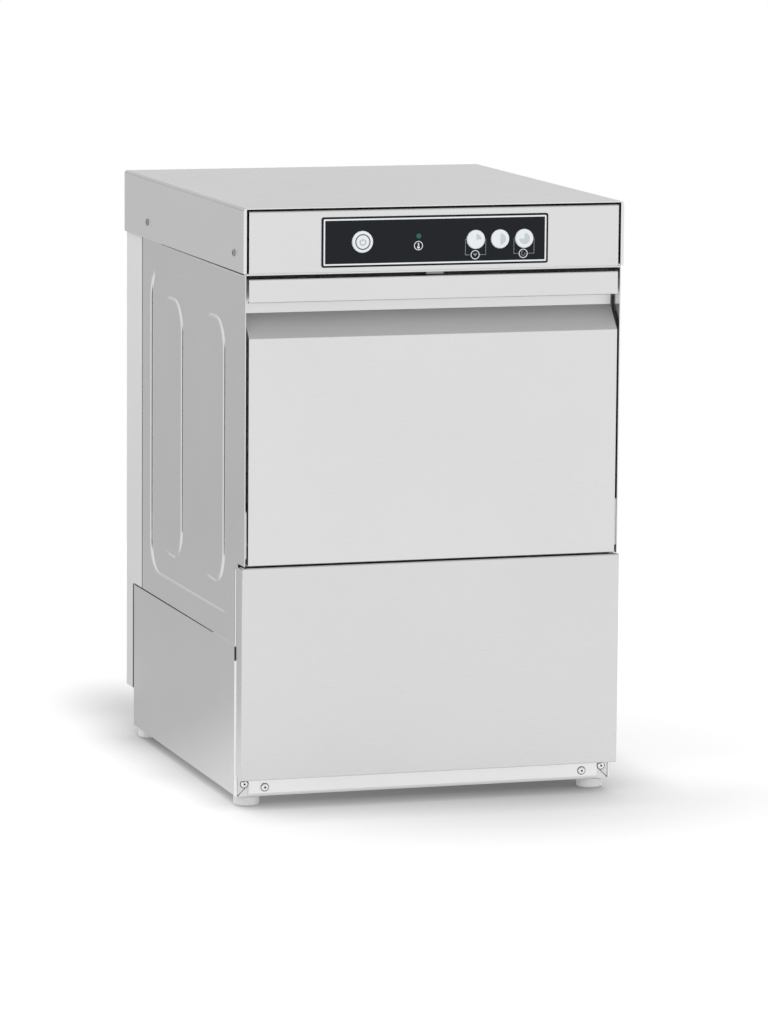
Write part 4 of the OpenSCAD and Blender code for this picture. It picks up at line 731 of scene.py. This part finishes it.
def pressed_wall(node, side):
    """One side wall: the skin, mirrored for the left side, with the sheet's thickness behind it."""
    shape = bmesh.new()
    wall_skin(shape)
    for vertex in shape.verts:
        vertex.co = Vector((side * vertex.co.x, vertex.co.y + FRONT_Y, vertex.co.z)) * MM
    bmesh.ops.recalc_face_normals(shape, faces=shape.faces)
    face = max(shape.faces, key=lambda each: each.calc_area())
    if face.normal.x * side < 0:
        bmesh.ops.reverse_faces(shape, faces=shape.faces)
    piece = from_shape(node + "_finish", shape)
    thick = piece.modifiers.new("sheet", "SOLIDIFY")
    thick.thickness = SHEET * MM
    thick.offset = -1
    return settle(soften(baked(piece), STEEL_SIDE, 0), node, node)


for node, side in (("left_wall", -1), ("right_wall", 1)):
    wall = pressed_wall(node, side)
    print(wall.name, len(wall.data.polygons), "faces")

# %% [markdown]
# ## Screws
# The cover and the base are held by small pan-head screws, dull ones on the cover and bright ones on the
# base. All have one shape, so one is turned on a lathe profile with a hexagon recess, and Geometry Nodes puts
# a copy wherever the construction model has a screw, facing the way that one faces. The recess is marked by
# an attribute, so that it gets a dark material of its own, painted shade in the hollow.

# %% Screw pattern, its profile as radius and height in mm
HEAD_R = 4.2
HEAD_H = 1.8
SHANK_R = 2.0
SHANK_LEN = 9.0
RECESS_R = 1.35
RECESS_DEEP = 1.2
SCREW_SIDES = 24
SCREW_PROFILE = ((RECESS_R, -RECESS_DEEP), (RECESS_R, 0.0), (2.3, -0.06), (3.1, -0.3), (3.8, -0.68),
                 (HEAD_R, -1.2), (HEAD_R, -HEAD_H), (SHANK_R, -HEAD_H), (SHANK_R, -HEAD_H - SHANK_LEN))


def screw_pattern():
    """One pan-head screw whose head top is at the origin and faces up, in mm."""
    shape = bmesh.new()
    turns = [2 * math.pi * k / SCREW_SIDES for k in range(SCREW_SIDES)]
    hexagon = [math.cos(math.pi / 6) / math.cos((a % (math.pi / 3)) - math.pi / 6) for a in turns]
    rings = []
    for radius, level in SCREW_PROFILE:
        bulge = hexagon if radius == RECESS_R else [1] * SCREW_SIDES
        rings.append([shape.verts.new((radius * h * math.cos(a), radius * h * math.sin(a), level))
                      for a, h in zip(turns, bulge)])
    recess = shape.faces.layers.int.new("recess")
    for level, (inner, outer) in enumerate(zip(rings, rings[1:])):
        for face in bridge(shape, outer, inner):
            face[recess] = 1 if level == 0 else 0
            face.smooth = level > 1
    shape.faces.new(rings[0])[recess] = 1
    shape.faces.new(rings[-1][::-1])
    return closed("screw_pattern", shape)


pattern = screw_pattern()
print("screw pattern:", len(pattern.data.polygons), "faces")

# %% Places of the screws
def screw_places(node):
    """The top of each screw's head in a construction node, and the way that it faces."""
    shape = welded_copy(node)
    left = set(shape.verts)
    places = []
    while left:
        island = [left.pop()]
        for vertex in island:
            for link in vertex.link_edges:
                other = link.other_vert(vertex)
                if other in left:
                    left.remove(other)
                    island.append(other)
        low = Vector([min(vertex.co[k] for vertex in island) for k in range(3)])
        high = Vector([max(vertex.co[k] for vertex in island) for k in range(3)])
        size = high - low
        axis = max(range(3), key=lambda k: size[k])
        centre = (low + high) / 2
        facing = Vector((0, 0, 0))
        facing[axis] = math.copysign(1, centre[axis])
        centre[axis] = high[axis] if facing[axis] > 0 else low[axis]
        places.append((centre, facing))
    shape.free()
    return places


print("screws:", [len(screw_places(node)) for node in ("cover_screws", "base_screws")])

# %% Screw tree
def new_tree(name, inputs):
    """An empty Geometry Nodes tree with named inputs: the tree, the inputs' sockets and their identifiers."""
    tree = bpy.data.node_groups.new(name, "GeometryNodeTree")
    tree.interface.new_socket("Geometry", in_out="INPUT", socket_type="NodeSocketGeometry")
    tree.interface.new_socket("Geometry", in_out="OUTPUT", socket_type="NodeSocketGeometry")
    keys = {}
    for title, kind in inputs.items():
        socket = tree.interface.new_socket(title, in_out="INPUT", socket_type="NodeSocket" + kind)
        keys[title] = socket.identifier
    return tree, add(tree, "NodeGroupInput").outputs, keys


def grown(piece, tree, keys, values):
    """Runs a Geometry Nodes tree on a piece and keeps its result as a plain mesh."""
    growth = piece.modifiers.new("growth", "NODES")
    growth.node_group = tree
    for title, value in values.items():
        growth[keys[title]] = value
    return baked(piece)


screw_tree, screw_in, screw_keys = new_tree("screws_on_points", {
    "Screw": "Object", "Size": "Float", "Steel": "Material", "Recess": "Material"})
one_screw = add(screw_tree, "GeometryNodeObjectInfo", {"Object": screw_in["Screw"]})
facing = add(screw_tree, "GeometryNodeInputNamedAttribute", {"Name": "facing"}, data_type="FLOAT_VECTOR")
turned = add(screw_tree, "FunctionNodeAlignRotationToVector", {"Vector": facing.outputs["Attribute"]},
             axis="Z")
set_screws = add(screw_tree, "GeometryNodeInstanceOnPoints", {
    "Points": screw_in["Geometry"], "Instance": one_screw.outputs["Geometry"], "Rotation": turned,
    "Scale": screw_in["Size"]})
real_screws = add(screw_tree, "GeometryNodeRealizeInstances", {"Geometry": set_screws})
steel_screws = add(screw_tree, "GeometryNodeSetMaterial", {
    "Geometry": real_screws, "Material": screw_in["Steel"]})
recessed = add(screw_tree, "GeometryNodeInputNamedAttribute", {"Name": "recess"}, data_type="INT")
# The recess gets the dark material, painted shade in its hollow.
shaded_recess = add(screw_tree, "GeometryNodeSetMaterial", {
    "Geometry": steel_screws, "Selection": recessed.outputs["Attribute"], "Material": screw_in["Recess"]})
add(screw_tree, "NodeGroupOutput", {"Geometry": shaded_recess})
print("screw tree:", len(screw_tree.nodes), "nodes")

# %% Screws
for node, finish in (("cover_screws", DULL_SCREW), ("base_screws", STEEL_SCREW)):
    places = screw_places(node)
    piece = from_points(node + "_finish", [place for place, way in places])
    ways = piece.data.attributes.new("facing", "FLOAT_VECTOR", "POINT")
    for k, (place, way) in enumerate(places):
        ways.data[k].vector = way
    grown(piece, screw_tree, screw_keys, {
        "Screw": pattern, "Size": MM, "Steel": finish, "Recess": SHADOW_GAP})
    settle(piece, node, node)
    print(piece.name, len(places), "screws,", len(piece.data.polygons), "faces")
bpy.data.objects.remove(pattern)

# %% [markdown]
# ## Tank filter
# The plate over the tank is perforated, so that water runs back and scraps stay out. The construction model
# has a coarse set of holes. A real plate has hundreds, in even rows. Geometry Nodes lays a grid of circles,
# leaves out those near the two openings, fills the sheet between them and gives it its thickness.

# %% Filter tree
HOLE_SIDES = 10
filter_tree, filter_in, filter_keys = new_tree("perforated_plate", {
    "Pitch": "Float", "Hole radius": "Float", "Thickness": "Float", "Width": "Float", "Length": "Float",
    "Hub": "Vector", "Hub margin": "Float", "Drain": "Vector", "Drain margin": "Float", "Steel": "Material"})


def holes_along(side):
    """How many rows of holes fit on one side of the plate."""
    fit = add(filter_tree, "ShaderNodeMath", {0: filter_in[side], 1: filter_in["Pitch"]}, operation="DIVIDE")
    return add(filter_tree, "ShaderNodeMath", {0: fit}, operation="FLOOR")


def extent(rows):
    """The length that a number of rows takes up."""
    gaps = add(filter_tree, "ShaderNodeMath", {0: rows, 1: 1.0}, operation="SUBTRACT")
    return add(filter_tree, "ShaderNodeMath", {0: gaps, 1: filter_in["Pitch"]}, operation="MULTIPLY")


def clear_of(place, margin):
    """1 where a point is further than a margin from a place."""
    here = add(filter_tree, "GeometryNodeInputPosition")
    away = add(filter_tree, "ShaderNodeVectorMath", {0: here, 1: filter_in[place]}, operation="DISTANCE")
    return add(filter_tree, "ShaderNodeMath", {0: away.outputs["Value"], 1: filter_in[margin]},
               operation="GREATER_THAN")


rows_x = holes_along("Width")
rows_y = holes_along("Length")
hole_grid = add(filter_tree, "GeometryNodeMeshGrid", {
    "Size X": extent(rows_x), "Size Y": extent(rows_y), "Vertices X": rows_x, "Vertices Y": rows_y})
open_field = add(filter_tree, "ShaderNodeMath", {
    0: clear_of("Hub", "Hub margin"), 1: clear_of("Drain", "Drain margin")}, operation="MULTIPLY")
one_hole = add(filter_tree, "GeometryNodeCurvePrimitiveCircle", {
    "Resolution": HOLE_SIDES, "Radius": filter_in["Hole radius"]})
hole_set = add(filter_tree, "GeometryNodeInstanceOnPoints", {
    "Points": hole_grid, "Selection": open_field, "Instance": one_hole})
real_holes = add(filter_tree, "GeometryNodeRealizeInstances", {"Geometry": hole_set})
plate_edges = add(filter_tree, "GeometryNodeMeshToCurve", {"Mesh": filter_in["Geometry"]})
all_loops = add(filter_tree, "GeometryNodeJoinGeometry", {"Geometry": plate_edges})
filter_tree.links.new(real_holes.outputs["Geometry"], all_loops.inputs["Geometry"])
flat_plate = add(filter_tree, "GeometryNodeFillCurve", {"Curve": all_loops})
raised = add(filter_tree, "GeometryNodeExtrudeMesh", {
    "Mesh": flat_plate, "Offset Scale": filter_in["Thickness"], "Individual": False})
underside = add(filter_tree, "GeometryNodeFlipFaces", {"Mesh": flat_plate})
both = add(filter_tree, "GeometryNodeJoinGeometry", {"Geometry": raised})
filter_tree.links.new(underside.outputs["Mesh"], both.inputs["Geometry"])
welded = add(filter_tree, "GeometryNodeMergeByDistance", {"Geometry": both, "Distance": WELD})
steel_plate = add(filter_tree, "GeometryNodeSetMaterial", {
    "Geometry": welded, "Material": filter_in["Steel"]})
add(filter_tree, "NodeGroupOutput", {"Geometry": steel_plate})
print("filter tree:", len(filter_tree.nodes), "nodes")

# %% Perforated filter plate, sizes in m
FILTER_ROUND = 25 * MM
HUB_R = 23 * MM
DRAIN_R = 18 * MM
HOLE_PITCH = 10 * MM
HOLE_R = 2.5 * MM
PLAIN_RIM = 24 * MM
PLAIN_RING = 6 * MM


def edge_loops(name, loops):
    """An object of closed loops of edges, flat at height 0."""
    points = []
    edges = []
    for loop in loops:
        first = len(points)
        points += [(a, b, 0) for a, b in loop]
        edges += [(first + k, first + (k + 1) % len(loop)) for k in range(len(loop))]
    return from_points(name, points, edges)


def middle_of(node):
    """The middle of a construction node's box."""
    low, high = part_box(node)
    return (Vector(low) + Vector(high)) / 2


middle = middle_of("tank_filter")
half = middle - Vector(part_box("tank_filter")[0])
hub = middle_of("arm_pillar") - middle
drain = middle_of("overflow_pipe") - middle
plate = edge_loops("tank_filter_finish", [
    rounded_loop(-half.x, -half.y, half.x, half.y, FILTER_ROUND),
    circle_points(hub.x, hub.y, HUB_R), circle_points(drain.x, drain.y, DRAIN_R)])
grown(plate, filter_tree, filter_keys, {
    "Pitch": HOLE_PITCH, "Hole radius": HOLE_R, "Thickness": SHEET * MM, "Width": 2 * half.x - PLAIN_RIM,
    "Length": 2 * half.y - PLAIN_RIM, "Hub": (hub.x, hub.y, 0), "Hub margin": HUB_R + PLAIN_RING,
    "Drain": (drain.x, drain.y, 0), "Drain margin": DRAIN_R + PLAIN_RING, "Steel": STEEL_PART})
plate.data.transform(Matrix.Translation((middle.x, middle.y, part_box("tank_filter")[0][2])))
settle(plate, "tank_filter", "tank_filter")
print("filter plate:", len(plate.data.polygons), "faces")

# %% [markdown]
# ## Print on the control panel
# The black film carries a white frame and small signs in white and grey ink: a thermometer below the lamp,
# and a round sign below two of the buttons. The ink is a few hundredths of a millimetre thick. It is drawn as
# flat shapes, each turned into a thin closed slab that reaches a little into the film, so that no two faces
# lie in one plane.

# %% Flat shapes and slabs
def ring(x, z, radius, width):
    """A closed line round a circle."""
    return [circle_points(x, z, radius + width / 2), circle_points(x, z, radius - width / 2)]


def arc(x, z, radius, width, start, sweep):
    """A line along part of a circle."""
    outer = circle_points(x, z, radius + width / 2, 20, start, sweep)
    return [outer + circle_points(x, z, radius - width / 2, 20, start, sweep)[::-1]]


def pie(x, z, radius, start, sweep):
    """A slice of a disc."""
    return [[(x, z)] + circle_points(x, z, radius, 24, start, sweep)]


def outline_at(x, z, points):
    """A shape whose corners are counted from a place."""
    return [[(x + across, z + higher) for across, higher in points]]


def stem(x, z, low, high, width):
    """An upright line of a given width."""
    return outline_at(x, z, ((-width / 2, low), (width / 2, low), (width / 2, high), (-width / 2, high)))


def slab(name, shapes, front_y, thickness, bury, material):
    """Thin closed solids from flat shapes in mm, standing on the plane y = front_y and facing forwards."""
    solid = bmesh.new()
    for loops in shapes:
        rows = []
        for level in (front_y - thickness, front_y + bury):
            rows.append([[solid.verts.new((x * MM, level * MM, z * MM)) for x, z in loop] for loop in loops])
        flat = [[Vector((x, z, 0)) for x, z in loop] for loop in loops]
        for corner in tessellate_polygon(flat):
            for row in rows:
                vertices = [vertex for loop in row for vertex in loop]
                solid.faces.new([vertices[k] for k in corner])
        for front, back in zip(*rows):
            bridge(solid, front, back)
    piece = closed(name, solid)
    piece.data.materials.append(material)
    return piece


def spot(node):
    """The middle of a node's front face in mm: across and height."""
    low, high = box_mm(node)
    return (low[0] + high[0]) / 2, (low[2] + high[2]) / 2


def beside(node, across, higher):
    """A place counted from the middle of a node's front face."""
    x, z = spot(node)
    return x + across, z + higher


print("power button at", [round(v, 1) for v in spot("power_button")])

# %% Frame and signs on the film, in mm
INK = 0.05
BURIED = 0.05
FRAME_IN = 2.2
FRAME_LINE = 1.7
FRAME_ROUNDS = (1.0, 0.4)
SIGN_R = 4.7
SIGN_LINE = 0.8
HEAT_STEM = (-1.2, 2.9, 1.3)
BULB_DOWN = 1.8
BULB_R = 1.5
ARROW_DOWN = ((-2.3, 1.1), (-1.5, 1.8), (0, 0.4), (1.5, 1.8), (2.3, 1.1), (0, -1.7))
ARROW_TURN = (2.1, 0.9, 120, 270)
ARROW_HEAD = ((-2.8, 2.6), (-0.2, 2.9), (-0.9, 0.6))

film_low, film_high = box_mm("control_fascia")
FILM_Y = film_low[1]
heat = beside("indicator_lamp", -0.3, -10.5)
down = beside("cycle_button_short", -0.4, -17)
again = beside("cycle_button_long", -0.8, -16.7)
frame_line = []
for inset, corner in zip((FRAME_IN, FRAME_IN + FRAME_LINE), FRAME_ROUNDS):
    frame_line.append(rounded_loop(film_low[0] + inset, film_low[2] + inset, film_high[0] - inset,
                                   film_high[2] - inset, corner, 3))
signs = [frame_line] + [ring(*place, SIGN_R, SIGN_LINE) for place in (heat, down, again)]
signs += [stem(*heat, *HEAT_STEM), [circle_points(heat[0], heat[1] - BULB_DOWN, BULB_R, 20)]]
down_arrow = [outline_at(*down, ARROW_DOWN)]
again_arrow = [arc(*again, *ARROW_TURN), outline_at(*again, ARROW_HEAD)]
for name, shapes, ink in (("fascia_print", signs, INK_WHITE), ("fascia_arrow", down_arrow, INK_GREY),
                          ("fascia_turn", again_arrow, INK_DIM)):
    settle(slab(name, shapes, FILM_Y, INK, BURIED, ink), "control_fascia")
print("shapes on the film:", len(signs) + len(down_arrow) + len(again_arrow))

# %% [markdown]
# Dotted lines join the two signs to their buttons. Dots that follow a path are work for Geometry Nodes: the
# path is cut at an even pitch and one small disc goes on each point.

# %% Dot tree
DOT_SIDES = 10
dot_tree, dot_in, dot_keys = new_tree("dots_on_path", {
    "Pitch": "Float", "Dot radius": "Float", "Thickness": "Float", "Ink": "Material"})
dot_path = add(dot_tree, "GeometryNodeMeshToCurve", {"Mesh": dot_in["Geometry"]})
dot_points = add(dot_tree, "GeometryNodeResampleCurve", {"Curve": dot_path, "Length": dot_in["Pitch"]},
                 mode="LENGTH")
one_dot = add(dot_tree, "GeometryNodeMeshCylinder", {
    "Vertices": DOT_SIDES, "Radius": dot_in["Dot radius"], "Depth": dot_in["Thickness"]})
dot_set = add(dot_tree, "GeometryNodeInstanceOnPoints", {
    "Points": dot_points, "Instance": one_dot, "Rotation": (math.pi / 2, 0, 0)})
real_dots = add(dot_tree, "GeometryNodeRealizeInstances", {"Geometry": dot_set})
inked_dots = add(dot_tree, "GeometryNodeSetMaterial", {"Geometry": real_dots, "Material": dot_in["Ink"]})
add(dot_tree, "NodeGroupOutput", {"Geometry": inked_dots})
print("dot tree:", len(dot_tree.nodes), "nodes")

# %% Dotted lines, sizes in mm
BRACKET_HALF = 11.8
BRACKET_GAP = 1.0
DOT_PITCH = 1.5
DOT_R = 0.45

path_points = []
path_edges = []
for node, (sign_x, sign_z) in (("cycle_button_short", down), ("cycle_button_long", again)):
    button_x, button_z = spot(node)
    for side in (-1, 1):
        first = len(path_points)
        edge_x = button_x + side * BRACKET_HALF
        near_x = sign_x + side * (SIGN_R + BRACKET_GAP)
        path_points += [(x * MM, FILM_Y * MM, z * MM) for x, z in
                        ((edge_x, button_z), (edge_x, sign_z), (near_x, sign_z))]
        path_edges += [(first, first + 1), (first + 1, first + 2)]
dots = grown(from_points("fascia_dots", path_points, path_edges), dot_tree, dot_keys, {
    "Pitch": DOT_PITCH * MM, "Dot radius": DOT_R * MM, "Thickness": 2 * INK * MM, "Ink": INK_GREY})
settle(dots, "control_fascia")
print("dots:", len(dots.data.polygons) // (DOT_SIDES + 2))

# %% [markdown]
# The signs on the buttons go down with the buttons, so they are pieces of their own that ride on the buttons'
# bodies. The cycle buttons show how long a wash takes: a quarter, a half and three quarters of a disc.

# %% Signs on the buttons, in mm
POWER_RING = (8.1, 1.2)
POWER_ARC = (3.3, 1.0, 125, 290)
POWER_STEM = (0.6, 3.9, 1.0)
PIE_R = 6.2
power = spot("power_button")
power_shapes = [arc(*beside("power_button", 0, -0.2), *POWER_ARC), stem(*power, *POWER_STEM)]
button_signs = [("power_button", "power_ring", [ring(*power, *POWER_RING)], INK_DARK),
                ("power_button", "power_sign", power_shapes, INK_GREY)]
for node, sweep in (("cycle_button_short", 90), ("cycle_button_medium", 180), ("cycle_button_long", 270)):
    button_signs.append((node, node + "_sign", [pie(*spot(node), PIE_R, 90 - sweep, sweep)], BUTTON_GREY))
for node, name, shapes, ink in button_signs:
    settle(slab(name, shapes, box_mm(node)[0][1], INK, BURIED, ink), node)
print("button signs:", len(button_signs))

# %% [markdown]
# ## Painted gap shade and rolled edges
# Where two sheets of the casing meet, the gap between them lies in shade, and from a little way off it is the
# dark line that tells the sheets apart. That shade is painted: a thin black strip lies along the joint, a
# straight strip with a rounded face, swept from a short profile. The front edges of the base panels and of
# the walls are rolled over, and a bead runs below the cover: their round faces catch the light, and their
# paler steel is a painted highlight, which gives the bright lines beside the service panel and below the
# cover. A dark ring of painted shade lies round each screw that faces the front.

# %% Strip builder
ROUND_STEPS = 6


def strip(solid, start, end, out, widths, proud, buried):
    """Adds a strip from start to end in shop mm: flat behind, rounded towards out, closed at its ends."""
    across = out.cross((end - start).normalized())
    steps = [math.pi * k / ROUND_STEPS for k in range(ROUND_STEPS + 1)]
    rows = []
    for point, width in ((start, widths[0]), (end, widths[1])):
        profile = [across * (-math.cos(a) * width / 2) + out * (math.sin(a) * proud) for a in steps]
        profile += [across * (width / 2) - out * buried, across * (-width / 2) - out * buried]
        rows.append([solid.verts.new((point + shift + Vector((0, FRONT_Y, 0))) * MM) for shift in profile])
        solid.faces.new(rows[-1])
    bridge(solid, *rows)


def strips_piece(name, material, rows):
    """One piece from a list of strips."""
    solid = bmesh.new()
    for row in rows:
        strip(solid, *[Vector(place) for place in row[:3]], *row[3:])
    return soften(closed(name, solid), material, 0)


print("strip profile:", ROUND_STEPS + 3, "points")

# %% Places of the seams in mm, depth counted from the front of the machine
base_high = box_mm("base_panel_right")[1]
BASE_X = base_high[0]
BASE_TOP = base_high[2]
BASE_REAR = base_high[1] - FRONT_Y
REAR_LOW = box_mm("rear_cover")[0][2]
COVER_LOW = box_mm("top_cover")[0][2]
PANEL_SIDE = 220
UNDER_COVER = COVER_LOW - 1.2
UNDER_SEAL = COVER_LOW - 3.2
OVER_BASE = BASE_TOP + 0.4
BEHIND_BASE = BASE_REAR + 6
SEAM_LOW = 183
SEAM_TOP = 268
DOOR_SEAM = 594.85
RAIL_FACE = 24.9
print("base to", round(BASE_TOP, 1), "mm, cover from", round(COVER_LOW, 1), "mm")

# %% Gap shade strips and rolled edges: start, end, way out, widths at both ends, height over the sheet and depth in it
FORWARDS = (0, -1, 0)
gap_shade_rows = []
roll_rows = []
for side in (-1, 1):
    wall = side * WALL_X
    panel = side * PANEL_SIDE
    gap = side * (BASE_X + 0.7)
    roll = side * (BASE_X + 0.8)
    out = (side, 0, 0)
    gap_shade_rows += [
        ((wall, 9, UNDER_COVER), (wall, 360, UNDER_COVER), out, (2.4, 0.3), 0.5, 0.3),
        ((wall, 130, OVER_BASE), (wall, BASE_REAR, OVER_BASE), out, (0.3, 1.5), 0.4, 0.3),
        ((wall, BEHIND_BASE, REAR_LOW + 1), (wall, BEHIND_BASE, BASE_TOP), out, (6.0, 5.2), 0.2, 0.3),
        ((wall, WALL_REAR, BASE_TOP), (wall, WALL_REAR, COVER_LOW - 1), out, (1.1, 1.1), 0.1, 1.2),
        ((gap, 27.4, 166), (gap, 27.4, BASE_TOP), out, (2.0, 5.0), 2.0, 0.8),
        ((side * 10.6, 6, DOOR_SEAM), (side * 212.5, 6, DOOR_SEAM), FORWARDS, (2.6, 2.6), 3.0, 3.0),
        ((side * 217.9, RAIL_FACE, 13.2), (side * 206.6, RAIL_FACE, 24.0), FORWARDS, (0.7, 0.7), 0.1, 0.3),
        ((wall, 39, SEAM_LOW), (wall, 39, SEAM_TOP), out, (0.4, 0.4), 0.1, 0.3),
        ((panel, 24.2, SEAM_LOW), (panel, 24.2, SEAM_TOP), out, (0.4, 0.4), 0.1, 0.3),
    ]
    roll_rows += [
        ((roll, 27, 13), (roll, 27, 165.5), out, (4.0, 4.0), 2.0, 1.0),
        ((roll, 27.2, SEAM_LOW), (roll, 27.2, SEAM_TOP), out, (2.0, 2.0), 1.3, 2.0),
        ((wall, 12, UNDER_SEAL), (wall, 210, UNDER_SEAL), out, (1.2, 0.3), 0.4, 0.3),
    ]
# The black strips are painted shade in the gaps between the sheets.
settle(strips_piece("joint_seals", RUBBER, gap_shade_rows), "door_gasket")
# The rolled edges and the bead catch real light on their round faces, and their paler steel is a painted
# highlight.
settle(strips_piece("base_panel_rolls", STEEL_PALE_SHEEN, roll_rows), "base_panel_left")
print("seals:", len(gap_shade_rows), "rolled edges:", len(roll_rows))

# %% Rings of painted shade round the front screws, in mm
SHADE_RING_R = 4.5
SHADE_RING_LINE = 0.7
SHADE_RING_PROUD = 0.2
SHADE_RING_BURIED = 0.3
seats = {}
for place, way in screw_places("base_screws"):
    if way.y < 0:
        shade_ring = ring(place.x / MM, place.z / MM, SHADE_RING_R, SHADE_RING_LINE)
        seats.setdefault(round(place.y / MM + HEAD_H, 1), []).append(shade_ring)
# Each dark ring is painted shade round a screw head.
for k, seat in enumerate(sorted(seats)):
    shade_rings = slab("front_washers_%d" % k, seats[seat], seat, SHADE_RING_PROUD, SHADE_RING_BURIED, SHADOW_GAP)
    settle(shade_rings, "base_screws")
    print("rings at depth", round(seat - FRONT_Y, 1), "mm:", len(seats[seat]))

# %% Finish
print("scene finished")
